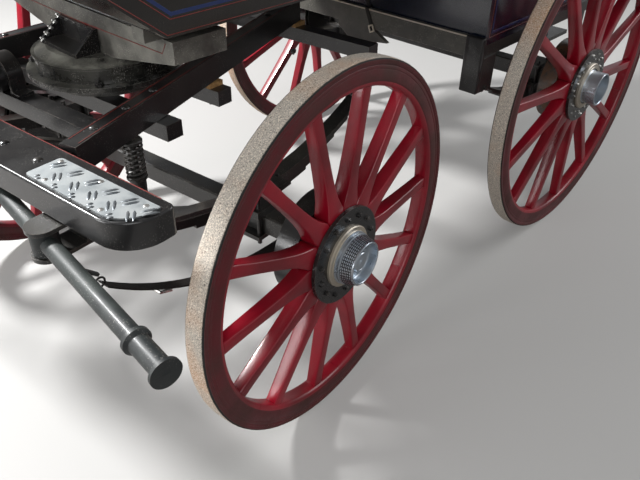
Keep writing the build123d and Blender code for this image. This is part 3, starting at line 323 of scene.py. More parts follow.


# %% [markdown]
# Bright metal is all reflection, so its colour matters less than how its roughness varies. The
# hub is turned steel, with a brown film over its base; the blue tint of its colour is a painted
# reflection of a blue sky. The tread is rolled aluminium, duller and paler, with dirt left in the
# low places between its bars.

# %% Bare metals
def bare_metal(name, colour, film, rough, film_rough, film_amount, up, scale):
    material = bpy.data.materials.new(name)
    material.use_nodes = True
    tree = material.node_tree
    shader = tree.nodes["Principled BSDF"]
    place = add(tree, "ShaderNodeTexCoord").outputs["Object"]
    film_mask = group_mask(tree, dust_group, Amount=film_amount, Up=up, Scale=scale)
    spot_mask = group_mask(tree, speckle_group, Amount=0.35, Scale=300.0)
    dull = math(tree, "MAXIMUM", film_mask, spot_mask)
    tree.links.new(mixed(tree, dull, colour, film), shader.inputs["Base Color"])
    tree.links.new(between(tree, dull, 0.0, 1.0, rough, film_rough), shader.inputs["Roughness"])
    tree.links.new(between(tree, dull, 0.0, 1.0, 1.0, 0.35), shader.inputs["Metallic"])
    marks = noise(tree, place, 400.0, 4.0)
    bump = add(tree, "ShaderNodeBump", {"Strength": 0.12, "Distance": 0.001, "Height": marks})
    tree.links.new(bump.outputs[0], shader.inputs["Normal"])
    return material


bar_metal = bare_metal("rubbed_bars", rgb(0.20, 0.22, 0.24), rgb(0.12, 0.12, 0.115), rough=0.35,
                       film_rough=0.6, film_amount=0.7, up=0.0, scale=40.0)
# A dark metal that paints shade into the knurl's valleys and also marks the joint of the turntable band.
knurl_shade_and_joint_dark = bare_metal("knurl_shade_and_joint_dark", rgb(0.05, 0.055, 0.065), rgb(0.08, 0.07, 0.055), rough=0.5,
                         film_rough=0.8, film_amount=0.6, up=0.0, scale=14.0)
rubber = tyre_material()
# The hub's blue-grey colour is a painted reflection of a blue sky; the brown film is dust.
sky_tinted_hub_metal = bare_metal("turned_steel_painted_sky_tint", rgb(0.52, 0.59, 0.67), rgb(0.32, 0.28, 0.22), rough=0.24,
                       film_rough=0.6, film_amount=0.5, up=0.1, scale=14.0)
base_metal = bare_metal("dusty_steel", rgb(0.52, 0.48, 0.42), rgb(0.45, 0.38, 0.28), rough=0.38,
                        film_rough=0.75, film_amount=0.9, up=0.0, scale=9.0)
tread_metal = bare_metal("tread_aluminium", rgb(0.40, 0.43, 0.44), rgb(0.33, 0.34, 0.335), rough=0.48,
                         film_rough=0.65, film_amount=0.9, up=0.3, scale=24.0)
bright_metal = bare_metal("bright_steel", rgb(0.68, 0.68, 0.66), rgb(0.34, 0.30, 0.24), rough=0.24,
                          film_rough=0.5, film_amount=0.5, up=0.4, scale=30.0)

# %% [markdown]
# The cushions are black leather. Its grain is a net of fine cells, which a Voronoi distance gives,
# over a slow wrinkle. The bare wood of the packing blocks is stretched noise, so that its grain
# runs along the block.

# %% Leather and bare wood
def leather_material():
    material = bpy.data.materials.new("black_leather")
    material.use_nodes = True
    tree = material.node_tree
    shader = tree.nodes["Principled BSDF"]
    place = add(tree, "ShaderNodeTexCoord").outputs["Object"]
    patches = noise(tree, place, 6.0, 5.0)
    tone = mixed(tree, between(tree, patches, 0.4, 0.65), rgb(0.013, 0.012, 0.012), rgb(0.030, 0.026, 0.023))
    dust_mask = group_mask(tree, dust_group, Amount=0.12, Up=0.7, Scale=7.0)
    tree.links.new(mixed(tree, dust_mask, tone, rgb(0.12, 0.11, 0.09)), shader.inputs["Base Color"])
    tree.links.new(between(tree, patches, 0.3, 0.7, 0.50, 0.66), shader.inputs["Roughness"])
    shader.inputs["Specular IOR Level"].default_value = 0.15
    cells = add(tree, "ShaderNodeTexVoronoi", {"Vector": place, "Scale": 420.0}).outputs["Distance"]
    wrinkle = noise(tree, place, 45.0, 4.0)
    raised = math(tree, "ADD", cells, math(tree, "MULTIPLY", wrinkle, 1.5))
    bump = add(tree, "ShaderNodeBump", {"Strength": 0.35, "Distance": 0.0015, "Height": raised})
    tree.links.new(bump.outputs[0], shader.inputs["Normal"])
    return material


def wood_material():
    material = bpy.data.materials.new("bare_wood")
    material.use_nodes = True
    tree = material.node_tree
    shader = tree.nodes["Principled BSDF"]
    place = add(tree, "ShaderNodeTexCoord").outputs["Object"]
    along = add(tree, "ShaderNodeMapping", {"Vector": place, "Scale": (60.0, 6.0, 60.0)}).outputs[0]
    fibres = noise(tree, along, 2.0, 6.0)
    tone = mixed(tree, between(tree, fibres, 0.35, 0.68), rgb(0.46, 0.27, 0.10), rgb(0.25, 0.13, 0.045))
    tree.links.new(tone, shader.inputs["Base Color"])
    shader.inputs["Roughness"].default_value = 0.7
    bump = add(tree, "ShaderNodeBump", {"Strength": 0.4, "Distance": 0.001, "Height": fibres})
    tree.links.new(bump.outputs[0], shader.inputs["Normal"])
    return material


leather = leather_material()
bare_wood = wood_material()

# %% [markdown]
# Each node of the construction belongs to a finish by its name. Wherever a piece made further
# down replaces a node, the node's own finish no longer shows.

# %% Dress the construction
finish_of_slot = {
    "tyre_rubber": rubber, "wheel_paint": crimson, "hub_steel": sky_tinted_hub_metal, "drum_paint": iron_black,
    "body_paint": navy, "frame_paint": black_gloss, "black_iron": iron_black, "tree_paint": tree_black,
    "spring_paint": spring_black, "seat_leather": leather, "tread_plate": tread_metal, "raw_wood": bare_wood,
    "strap_leather": leather,
}
finish_of_node = {
    "bolster": bolster_black, "turntable_upper": ring_black, "turntable_lower": ring_black,
    "boot_sides": boot_black, "boot_floor": boot_black, "chassis": spring_black, "front_sill": sill_grey,
    "boot_rails": bolster_black,
}
for subpart in frame["record"]["subparts"]:
    node = subpart["node"]
    finish = finish_of_node.get(node, finish_of_slot[subpart["material_slot"]])
    for material_slot in nodes[node].material_slots:
        material_slot.material = finish
print(len(nodes), "nodes dressed in", len(finish_of_slot), "finishes")

# %% [markdown]
# The set is a plain pale floor and a white world behind it. The floor looks pale to the camera and
# throws back less light than it shows, so that the deep paints keep their depth. Four wide lamps
# give soft light: one high on the far side, where the light comes from in the photograph, and
# three weaker ones that open the shade behind, on the near side and under the boot.

# %% Floor, world and lamps
FLOOR_MIRRORED, FLOOR_GLOW = 0.2, 0.12
WORLD_MIRRORED, WORLD_LIGHT, WORLD_SEEN = 0.22, 0.18, 0.95


def make_floor():
    bpy.ops.object.select_all(action="DESELECT")
    bpy.ops.mesh.primitive_plane_add(size=60)
    floor = bpy.context.object
    floor.name = "floor"
    material = bpy.data.materials.new("pale_floor")
    material.use_nodes = True
    tree = material.node_tree
    shader = tree.nodes["Principled BSDF"]
    path = add(tree, "ShaderNodeLightPath").outputs
    mirrored = math(tree, "MULTIPLY", path["Is Glossy Ray"], FLOOR_MIRRORED)
    pale = math(tree, "MAXIMUM", path["Is Camera Ray"], mirrored)
    tone = mixed(tree, pale, rgb(0.26, 0.25, 0.24), rgb(0.40, 0.395, 0.385))
    tree.links.new(tone, shader.inputs["Base Color"])
    shader.inputs["Emission Color"].default_value = rgb(1.0, 0.99, 0.97)
    glow = math(tree, "MULTIPLY", path["Is Camera Ray"], FLOOR_GLOW)
    tree.links.new(glow, shader.inputs["Emission Strength"])
    shader.inputs["Roughness"].default_value = 0.8
    floor.data.materials.append(material)


def lamp(name, place, target, size, watts):
    data = bpy.data.lights.new(name, "AREA")
    data.shape = "DISK"
    data.size = size
    data.energy = watts
    made = bpy.data.objects.new(name, data)
    bpy.context.scene.collection.objects.link(made)
    made.location = place
    made.rotation_euler = (Vector(target) - Vector(place)).to_track_quat("-Z", "Y").to_euler()
    return made


make_floor()
world = bpy.data.worlds.new("studio")
bpy.context.scene.world = world
world.use_nodes = True
tree = world.node_tree
path = add(tree, "ShaderNodeLightPath").outputs
mirrored = math(tree, "MULTIPLY", path["Is Glossy Ray"], WORLD_MIRRORED)
seen = math(tree, "MAXIMUM", path["Is Camera Ray"], mirrored)
strength = between(tree, seen, 0.0, 1.0, WORLD_LIGHT, WORLD_SEEN)
tree.links.new(strength, tree.nodes["Background"].inputs["Strength"])
tree.nodes["Background"].inputs["Color"].default_value = rgb(0.95, 0.97, 1.0)
MIDDLE = (-0.4, 0.0, 0.5)
lamps = [
    lamp("sun_side", (1.3, -3.3, 4.2), MIDDLE, 0.8, 600),
    lamp("near_fill", (2.6, 3.6, 3.2), MIDDLE, 3.0, 70),
    lamp("rear_fill", (-4.5, 2.2, 3.0), MIDDLE, 3.0, 80),
    lamp("low_fill", (2.4, -0.6, 1.3), (0.0, 0.1, 0.85), 1.4, 42),
]
print(len(lamps), "lamps")

# %% [markdown]
# From here on the finer forms are modelled. Each is built round the origin in the simplest
# position, then carried to its place by a matrix that goes into its mesh, so that its object
# stays at the origin like a node's. These helpers do the parts that every piece shares.

# %% Modelling helpers
def deselect():
    if bpy.context.mode != "OBJECT":
        bpy.ops.object.mode_set(mode="OBJECT")
    bpy.ops.object.select_all(action="DESELECT")


def only(piece):
    deselect()
    piece.select_set(True)
    bpy.context.view_layer.objects.active = piece


def pick_faces(piece, wanted):
    """Select in edit mode the faces whose middle and normal pass the test."""
    only(piece)
    bpy.ops.object.mode_set(mode="EDIT")
    bpy.ops.mesh.select_mode(type="FACE")
    bpy.ops.mesh.select_all(action="DESELECT")
    bpy.ops.object.mode_set(mode="OBJECT")
    for face in piece.data.polygons:
        face.select = bool(wanted(face.center, face.normal))
    bpy.ops.object.mode_set(mode="EDIT")


def start_cube(low, high):
    deselect()
    bpy.ops.mesh.primitive_cube_add(size=1)
    piece = bpy.context.object
    middle = [(a + b) / 2 for a, b in zip(low, high)]
    bpy.ops.object.mode_set(mode="EDIT")
    bpy.ops.transform.resize(value=[b - a for a, b in zip(low, high)])
    bpy.ops.transform.translate(value=middle)
    bpy.ops.object.mode_set(mode="OBJECT")
    return piece


def bevelled(piece, width, segments=2, angle=40):
    only(piece)
    bevel = piece.modifiers.new("bevel", "BEVEL")
    bevel.width = width
    bevel.segments = segments
    bevel.angle_limit = radians(angle)
    bpy.ops.object.modifier_apply(modifier=bevel.name)
    return piece


def spun(outline, steps, axis="Y"):
    """A point is extruded along an outline of (radius, along) and spun round the axis."""
    deselect()
    bpy.ops.mesh.primitive_plane_add(size=1)
    piece = bpy.context.object
    bpy.ops.object.mode_set(mode="EDIT")
    bpy.ops.mesh.select_mode(type="VERT")
    bpy.ops.mesh.select_all(action="SELECT")
    bpy.ops.mesh.merge(type="CENTER")

    def spot(radius, along):
        return Vector((radius, along, 0)) if axis == "Y" else Vector((radius, 0, along))

    bpy.ops.transform.translate(value=spot(*outline[0]))
    for before, after in zip(outline, outline[1:]):
        step = spot(*after) - spot(*before)
        bpy.ops.mesh.extrude_region_move(TRANSFORM_OT_translate={"value": step})
    bpy.ops.mesh.select_all(action="SELECT")
    spin_axis = (0, 1, 0) if axis == "Y" else (0, 0, 1)
    bpy.ops.mesh.spin(steps=steps, angle=2 * pi, center=(0, 0, 0), axis=spin_axis)
    bpy.ops.mesh.select_all(action="SELECT")
    bpy.ops.mesh.remove_doubles(threshold=0.00002)
    bpy.ops.mesh.normals_make_consistent(inside=False)
    bpy.ops.object.mode_set(mode="OBJECT")
    return piece


def twin(piece, matrix):
    """A copy with its own mesh, carried by a matrix."""
    made = piece.copy()
    made.data = piece.data.copy()
    bpy.context.scene.collection.objects.link(made)
    made.data.transform(matrix)
    if matrix.determinant() < 0:
        made.data.flip_normals()
    return made


def joined(pieces):
    deselect()
    for piece in pieces:
        piece.select_set(True)
    bpy.context.view_layer.objects.active = pieces[0]
    bpy.ops.object.join()
    return bpy.context.object


def repeated(piece, matrices):
    """One mesh that holds the piece once for each matrix; the first one is used up."""
    made = joined([twin(piece, matrix) for matrix in matrices])
    bpy.data.objects.remove(piece)
    return made


def ready(piece, name, body, finish, smooth=35):
    """Name, finish and smooth a piece, and let it ride on its body."""
    only(piece)
    piece.name = name
    piece.data.name = name
    bpy.ops.object.shade_smooth_by_angle(angle=radians(smooth))
    if finish is not None:
        piece.data.materials.clear()
        piece.data.materials.append(finish)
    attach(piece, body)
    print(name, len(piece.data.polygons), "faces on", body)
    return piece


def round_y(angle):
    """Turn by an angle in degrees, counted from forward towards up."""
    return Matrix.Rotation(-radians(angle), 4, "Y")


# %% [markdown]
# A wooden wheel is a ring of bent or sawn felloes, here seven, each carried by two spokes. Every
# spoke is square at the hub, where it touches its neighbours, slims down quickly, and widens again
# a little at its tongue in the felloe. It could be drawn as a plain bar, but the pointed gaps
# between the spokes' roots are what the eye looks for. So one cube is extruded along the spoke,
# widened or narrowed at each step and rounded, and then copied round the wheel.

# %% Spokes
SPOKES = 14
PHASES = {"front": 24.2, "rear": 6.3}
TYRE_THICK = 0.013
TYRE_WIDE = 0.052
FELLOE_DEEP = 0.052
FELLOE_WIDE = 0.046
NAVE_R = 0.118


def wheel_spoke(felloe_in):
    stations = (
        # distance from the wheel's centre, width round the wheel, width along the axle
        (NAVE_R - 0.030, 0.039, 0.046),
        (NAVE_R + 0.016, 0.0588, 0.0455),
        (NAVE_R + 0.030, 0.0505, 0.044),
        (NAVE_R + 0.052, 0.0400, 0.042),
        (NAVE_R + 0.085, 0.0325, 0.040),
        (NAVE_R + 0.130, 0.0290, 0.038),
        ((NAVE_R + felloe_in) / 2 + 0.07, 0.0280, 0.034),
        (felloe_in - 0.030, 0.0305, 0.031),
        (felloe_in + 0.010, 0.0320, 0.031),
    )
    first, wide, deep = stations[0]
    piece = start_cube((first - 0.004, -deep / 2, -wide / 2), (first, deep / 2, wide / 2))
    pick_faces(piece, lambda middle, normal: normal.x > 0.9)
    for before, after in zip(stations, stations[1:]):
        bpy.ops.mesh.extrude_region_move(TRANSFORM_OT_translate={"value": (after[0] - before[0], 0, 0)})
        grow = (1, after[2] / before[2], after[1] / before[1])
        bpy.ops.transform.resize(value=grow, center_override=(after[0], 0, 0))
    bpy.ops.object.mode_set(mode="OBJECT")
    return bevelled(piece, 0.0065, 3, 50)


def felloe(radius, felloe_in):
    """One bent felloe with rounded inner edges, from joint to joint."""
    felloe_out = radius - TYRE_THICK
    joint_gap = 0.10
    deselect()
    bpy.ops.mesh.primitive_plane_add(size=1)
    piece = bpy.context.object
    bpy.ops.object.mode_set(mode="EDIT")
    bpy.ops.transform.resize(value=(felloe_out - felloe_in, FELLOE_WIDE, 1))
    bpy.ops.transform.translate(value=((felloe_out + felloe_in) / 2, 0, 0))
    bpy.ops.mesh.select_mode(type="VERT")
    for inside, size in ((True, 0.010), (False, 0.003)):
        bpy.ops.mesh.select_all(action="DESELECT")
        bpy.ops.object.mode_set(mode="OBJECT")
        middle = (felloe_out + felloe_in) / 2
        limit = 0.49 * FELLOE_WIDE
        for vertex in piece.data.vertices:
            vertex.select = (vertex.co.x < middle) == inside and abs(vertex.co.y) > limit
        bpy.ops.object.mode_set(mode="EDIT")
        bpy.ops.mesh.bevel(offset=size, segments=3, affect="VERTICES")
    bpy.ops.mesh.select_all(action="SELECT")
    sweep = radians(720 / SPOKES - joint_gap)
    bpy.ops.mesh.spin(steps=16, angle=sweep, center=(0, 0, 0), axis=(0, 1, 0))
    bpy.ops.mesh.select_all(action="SELECT")
    bpy.ops.mesh.remove_doubles(threshold=0.00002)
    bpy.ops.mesh.normals_make_consistent(inside=False)
    bpy.ops.object.mode_set(mode="OBJECT")
    return piece


def rim_face(radius):
    """The flat of the rim on one side: a lip over the tyre and two fine turned lines."""
    outline = [(radius - 0.0045, 0.0248), (radius - 0.0050, 0.0264), (radius - 0.0125, 0.0262),
               (radius - 0.0150, 0.0248), (radius - 0.0165, 0.0238), (radius - 0.0180, 0.0246),
               (radius - 0.0240, 0.0246), (radius - 0.0250, 0.0238), (radius - 0.0262, 0.0243),
               (radius - 0.0480, 0.0240), (radius - 0.0520, 0.0236), (radius - 0.0545, 0.0222)]
    return spun(outline, 96)


def wooden_wheel(radius, phase):
    felloe_in = radius - TYRE_THICK - FELLOE_DEEP
    step = 360 / SPOKES
    spokes = repeated(wheel_spoke(felloe_in), [round_y(phase + number * step) for number in range(SPOKES)])
    rim = felloe(radius, felloe_in)
    start = degrees(atan2(max(rim.data.vertices, key=lambda v: v.co.z).co.z, felloe_in))
    turned_up = start > 1
    first = phase - step / 2 + (0 if turned_up else 2 * step)
    rim = repeated(rim, [round_y(first + number * 2 * step) for number in range(SPOKES // 2)])
    hub_disc = bevelled(spun([(0.050, -0.024), (NAVE_R + 0.004, -0.024), (NAVE_R + 0.004, 0.024),
                              (0.050, 0.024), (0.050, -0.024)], 56), 0.001, 1)
    wood = joined([spokes, rim, hub_disc])
    wood.data.materials.append(crimson)
    # The faces of the felloe take the darker rim crimson, which is partly road film and partly painted shade.
    face = rim_face(radius)
    face = joined([twin(face, MIRROR), face])
    face.data.materials.append(rim_crimson_dust_and_shade)
    return joined([wood, face])


# %% [markdown]
# Both wheels of an axle are alike, so each is made once, with its outer face towards +Y, and the
# right one is its mirror image. The front pair is carried round with the steered axle.

# %% Put the wheels in place
def at_wheel(end, side):
    """Matrix from a wheel's own frame, outer face towards +Y, to its place."""
    base = Matrix.Translation(wheel_at[end, side])
    if end == "front":
        base = base @ Matrix.Rotation(turn, 4, "Z")
    return base if side == "left" else base @ MIRROR


def on_corners(make, kind, replaced, finish, ends=("front", "rear"), smooth=35):
    """Make a piece once for each end, and put a copy on each side of the carriage."""
    for end in ends:
        master = make(end)
        for side in ("left", "right"):
            piece = twin(master, at_wheel(end, side))
            ready(piece, f"{kind}_{end}_{side}_form", f"{end}_{side}_wheel", finish, smooth)
            if replaced:
                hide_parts(f"{replaced}_{end}_{side}")
        bpy.data.objects.remove(master)


wheel_radius = {end: wheel_at[end, "left"].z for end in ("front", "rear")}
on_corners(lambda end: wooden_wheel(wheel_radius[end], PHASES[end]), "wood", "wheel", None)

# %% [markdown]
# The tyre is a solid rubber band with a flat tread and rounded shoulders. A ring section spun in
# ninety-six steps keeps its outline round close up, which the coarser node would not.

# %% Tyres
def tyre(end):
    radius = wheel_radius[end]
    half = TYRE_WIDE / 2
    outline = [
        (radius - TYRE_THICK, -half), (radius - 0.006, -half), (radius - 0.0022, -half + 0.0018),
        (radius - 0.0006, -half + 0.006), (radius, -half + 0.012), (radius, half - 0.012),
        (radius - 0.0006, half - 0.006), (radius - 0.0022, half - 0.0018), (radius - 0.006, half),
        (radius - TYRE_THICK, half), (radius - TYRE_THICK, -half),
    ]
    return spun(outline, 96)


on_corners(tyre, "tyre", "tyre", rubber, smooth=50)

# %% [markdown]
# The hub is turned from steel, with a flat dusty base ring and a barrel with an open cup. The
# front one is also knurled. Its faces are inset one by one and raised into rows of squares, and
# the valleys between them get a darker metal, a painted shade, so that the pattern reads from a
# step away.

# %% Hubs
RING_FACE = 0.0343
BASE_R, ROOT_R, BARREL_R, CUP_R, CAP_R, SLEEVE_R = 0.0805, 0.0660, 0.0570, 0.0510, 0.026, 0.052
BARREL_END = 0.090
CUP_DEEP = {"front": 0.024, "rear": 0.040}


def hub_barrel(end):
    tip = BARREL_END
    floor = tip - CUP_DEEP[end]
    base = RING_FACE + 0.008
    rings = []
    if end == "front":
        rings = [(ROOT_R + 0.0030, base + 0.001), (ROOT_R + 0.0030, base + 0.0045), (ROOT_R, base + 0.0060),
                 (ROOT_R, base + 0.0080), (ROOT_R + 0.0012, base + 0.0095), (ROOT_R + 0.0012, base + 0.0130),
                 (ROOT_R - 0.0010, base + 0.0145), (ROOT_R - 0.0010, base + 0.0160)]
        rows = 6
        knurl_start, knurl_end = base + 0.0165, tip - 0.0050
        pitch = (knurl_end - knurl_start) / rows
        narrow = (ROOT_R - 0.0022 - BARREL_R) / rows
        rings += [(ROOT_R - 0.0022 - number * narrow, knurl_start + number * pitch)
                  for number in range(rows + 1)]
    else:
        rings = [(BARREL_R + 0.002, base + 0.001), (BARREL_R, base + 0.004), (BARREL_R, tip - 0.009)]
    outline = [
        (ROOT_R - 0.002, base - 0.004), *rings,
        (BARREL_R, tip - 0.0045), (BARREL_R, tip - 0.0015), (BARREL_R - 0.0018, tip),
        (CUP_R + 0.0015, tip), (CUP_R, tip - 0.0015), (CUP_R - 0.002, floor + 0.002),
        (CUP_R - 0.004, floor), (CAP_R + 0.001, floor), (CAP_R, floor + 0.001),
        (CAP_R, floor + 0.010), (CAP_R - 0.002, floor + 0.012), (CAP_R - 0.005, floor + 0.0125),
        (CAP_R - 0.006, floor + 0.0115), (0.003, floor + 0.0115), (0.0, floor + 0.0100),
    ]
    piece = spun(outline, 48 if end == "front" else 64)
    if end == "front":
        pick_faces(piece, lambda middle, normal: knurl_start < middle.y < knurl_end
                   and hypot(middle.x, middle.z) > BARREL_R - 0.003)
        bpy.ops.mesh.inset(thickness=0.0008, depth=0.0, use_individual=True)
        bpy.ops.mesh.inset(thickness=0.0003, depth=0.0016, use_individual=True)
        bpy.ops.object.mode_set(mode="OBJECT")
        for face in piece.data.polygons:
            valley = knurl_start < face.center.y < knurl_end and not face.select
            on_wall = hypot(face.center.x, face.center.z) > BARREL_R - 0.003
            face.material_index = 1 if valley and on_wall else 0
    return piece


def hub_base():
    base = RING_FACE
    outline = [(SLEEVE_R, base - 0.001), (BASE_R, base - 0.001), (BASE_R, base + 0.0055),
               (BASE_R - 0.0025, base + 0.008), (0.0700, base + 0.0085), (0.0690, base + 0.0100),
               (0.0620, base + 0.0100)]
    return spun(outline, 72)


def hub_sleeve():
    """The sleeve through the nave and the ring on its inner side."""
    outline = [(0.026, -0.034), (SLEEVE_R, -0.034), (SLEEVE_R, RING_FACE)]
    return spun(outline, 48)


def whole_hub(end):
    barrel = hub_barrel(end)
    barrel.data.materials.append(sky_tinted_hub_metal)
    # The second slot darkens the knurl's valleys: painted shade.
    barrel.data.materials.append(knurl_shade_and_joint_dark)
    base = joined([hub_base(), hub_sleeve()])
    base.data.materials.append(base_metal)
    return joined([barrel, base])


on_corners(whole_hub, "hub", "hub", None, smooth=30)

# %% [markdown]
# The flange is bolted through the wood between the spokes. One hexagon nut with the end of its
# bolt is made, chamfered, and copied round the flange.

# %% Flange nuts
def nut(across, high, bolt_r, proud):
    """A chamfered hexagon nut on +Z with its bolt's end standing proud."""
    deselect()
    bpy.ops.mesh.primitive_cylinder_add(vertices=6, radius=across / 2, depth=high)
    piece = bpy.context.object
    bpy.ops.object.mode_set(mode="EDIT")
    bpy.ops.transform.translate(value=(0, 0, high / 2))
    bpy.ops.object.mode_set(mode="OBJECT")
    pick_faces(piece, lambda middle, normal: normal.z > 0.9)
    bpy.ops.mesh.bevel(offset=high * 0.16, segments=1)
    bpy.ops.object.mode_set(mode="OBJECT")
    pick_faces(piece, lambda middle, normal: normal.z > 0.99)
    bpy.ops.mesh.inset(thickness=max(0.0002, across * 0.42 - bolt_r))
    bpy.ops.mesh.extrude_region_move(TRANSFORM_OT_translate={"value": (0, 0, proud)})
    bpy.ops.mesh.bevel(offset=proud * 0.3, segments=1)
    bpy.ops.object.mode_set(mode="OBJECT")
    return piece


Z_TO_Y = Matrix.Rotation(-pi / 2, 4, "X")


def flange_nuts(end):
    face = 0.0340
    step = 360 / SPOKES
    one = nut(0.0135, 0.006, 0.0035, 0.0025) if end == "front" else nut(0.0080, 0.004, 0.0022, 0.0015)
    bolt_circle = 0.1050 if end == "front" else 0.0950
    outer_circle = 0.1120
    spots = []
    for number in range(SPOKES):
        angle = PHASES[end] + (number + 0.5) * step
        spots.append(round_y(angle) @ Matrix.Translation((bolt_circle, face, 0)) @ Z_TO_Y)
        if end == "rear":
            spots.append(round_y(angle + step / 2) @ Matrix.Translation((outer_circle, face, 0)) @ Z_TO_Y)
    return repeated(one, spots)


on_corners(flange_nuts, "flange_nuts", None, iron_black, ends=("front",), smooth=25)
on_corners(flange_nuts, "flange_bolts", None, bright_metal, ends=("rear",), smooth=25)

# %% [markdown]
# Much of the carriage's finish is bars and fine lines: painted lining, straps, the edge of the
# sill. A bar is one cube drawn out between two points, with its upper face towards a given side,
# and a line is a row of such bars that overlap at the corners.

# %% Bars and lines
def moved(piece, matrix):
    piece.data.transform(matrix)
    return piece


def bar(start, end, wide, thick, up, over=0.0):
    """A bar from start to end that stands proud by thick towards up."""
    start, end, up = Vector(start), Vector(end), Vector(up).normalized()
    along = (end - start).normalized()
    side = up.cross(along).normalized()
    piece = start_cube((-over, -wide / 2, 0), ((end - start).length + over, wide / 2, thick))
    frame_of_bar = Matrix((along, side, along.cross(side))).transposed().to_4x4()
    frame_of_bar.translation = start
    return moved(piece, frame_of_bar)


def line(points, wide, up, thick=0.0007, closed=False):
    ends = points[1:] + points[:1] if closed else points[1:]
    depths = [thick * (1 + 0.1 * (number % 3)) for number in range(len(ends))]
    runs = [bar(a, b, wide, deep, up, over=wide / 2) for a, b, deep in zip(points, ends, depths)]
    return bevelled(joined(runs), thick * 0.35, 1)


def shrunk(outline, by):
    """The corners of a closed outline moved inwards; the outline runs anticlockwise."""
    made = []
    for number, corner in enumerate(outline):
        before = Vector(corner) - Vector(outline[number - 1])
        after = Vector(outline[(number + 1) % len(outline)]) - Vector(corner)
        before, after = before.normalized(), after.normalized()
        inward = Vector((-before.y - after.y, before.x + after.x))
        made.append(tuple(Vector(corner) + inward * by / (1 + before.dot(after))))
    return made


def both(piece):
    """The piece and its mirror image on the other side of the carriage."""
    return joined([twin(piece, MIRROR), piece])


# %% [markdown]
# The steps on the splinter board are chequer plate. Its raised bars are slim lenses that stand in
# pairs, one pair across the next. A photograph or a bump map could draw them, but real bars catch
# the light on their flanks, so one bar is modelled with tapered ends and copied.

# %% Chequer plate
TREAD_TOP = 0.8380
PAIR_STEP = 0.050


def tread_bar(length):
    low, high = -0.0006, 0.0017
    piece = start_cube((-length / 4, -0.0024, low), (length / 4, 0.0024, high))
    for way in (1, -1):
        pick_faces(piece, lambda middle, normal: normal.x * way > 0.9)
        bpy.ops.mesh.extrude_region_move(TRANSFORM_OT_translate={"value": (way * length / 4, 0, 0)})
        bpy.ops.transform.resize(value=(1, 0.3, 0.4), center_override=(way * length / 2, 0, low))
        bpy.ops.object.mode_set(mode="OBJECT")
    return bevelled(piece, 0.0007, 2, 30)


def tread_pairs():
    rows = (
        # x, first y, pairs, angle of the bars, length
        (0.5345, 0.4160, 5, 46, 0.032),
        (0.5070, 0.3820, 6, 150, 0.030),
        (0.5560, 0.3900, 5, 150, 0.012),
    )
    pieces = []
    for x, first_y, count, angle, length in rows:
        spots = []
        for number in range(count):
            middle = Matrix.Translation((x, first_y + number * PAIR_STEP, TREAD_TOP))
            middle = middle @ Matrix.Rotation(radians(angle), 4, "Z")
            spots += [middle @ Matrix.Translation((0, shift, 0)) for shift in (-0.0053, 0.0053)]
        pieces.append(repeated(tread_bar(length), spots))
    return joined(pieces)


def tread_screws():
    head = spun([(0.0, 0.0020), (0.003, 0.0018), (0.0052, 0.0008), (0.0058, -0.0008)], 16, "Z")
    places = ((0.496, 0.373), (0.553, 0.408), (0.496, 0.490), (0.553, 0.563), (0.499, 0.612))
    return repeated(head, [Matrix.Translation((x, y, TREAD_TOP)) for x, y in places])


ready(moved(both(tread_pairs()), ON_FORE), "tread_bars", "fore_carriage", bar_metal)
ready(moved(both(tread_screws()), ON_FORE), "tread_screws", "fore_carriage", bright_metal)

# %% [markdown]
# Coach painters line out every member with a thin stroke, here red, and frame the panels with a
# broader blue band. The strokes are real paint, so they stand less than a millimetre proud. Each
# panel's band keeps an even distance from the panel's own outline.

# %% Red lining on the fore-carriage
FUTCHELL_X, FUTCHELL_Y, FUTCHELL_TOP = 0.2, 0.288, 0.860
FUTCHELL_SPREAD, FUTCHELL_FALL = 0.2, 0.06
PAINT_PROUD = 0.0004
BOARD_TOP = 0.8352


def futchell_spot(x, across):
    """A spot on top of the left futchell, beside its middle line by across."""
    ahead = x - FUTCHELL_X
    return (x, FUTCHELL_Y + FUTCHELL_SPREAD * ahead + across,
            FUTCHELL_TOP - FUTCHELL_FALL * ahead + PAINT_PROUD)


RISE_UP = (-0.06, 0, 1)
linings = []
for across in (-0.0150, 0.0150):
    linings.append(line([futchell_spot(0.440, across), futchell_spot(-0.440, across)], 0.0017, RISE_UP))
linings.append(line([(0.4655, 0.610, BOARD_TOP), (0.4655, 0.0, BOARD_TOP)], 0.0018, (0, 0, 1)))
ready(moved(both(joined(linings)), ON_FORE), "fore_lining", "fore_carriage", lining_red)

# %% [markdown]
# The sides of the boot and of the body carry a fine red line and a broader blue band. They could
# be drawn in a material, but strips that follow the panel's outline stay sharp at any distance.

# %% Red and blue lining on the body
BOOT_SIDE = [(-0.900, 1.020), (0.222, 1.020), (0.470, 1.213), (0.450, 1.303), (0.080, 1.270), (-0.120, 1.290),
             (-0.120, 1.400), (-0.640, 1.400), (-0.640, 1.170), (-0.900, 1.170)]
BODY_SIDE = [(-2.060, 0.750), (-0.900, 0.750), (-0.900, 1.170), (-2.060, 1.170)]
BENCH_BACK = [(-2.060, 1.198), (-0.922, 1.198), (-0.922, 1.500), (-2.060, 1.500)]


def panel_line(outline, y, by, wide):
    return line([(x, y, z) for x, z in shrunk(outline, by)], wide, (0, 1, 0), closed=True)


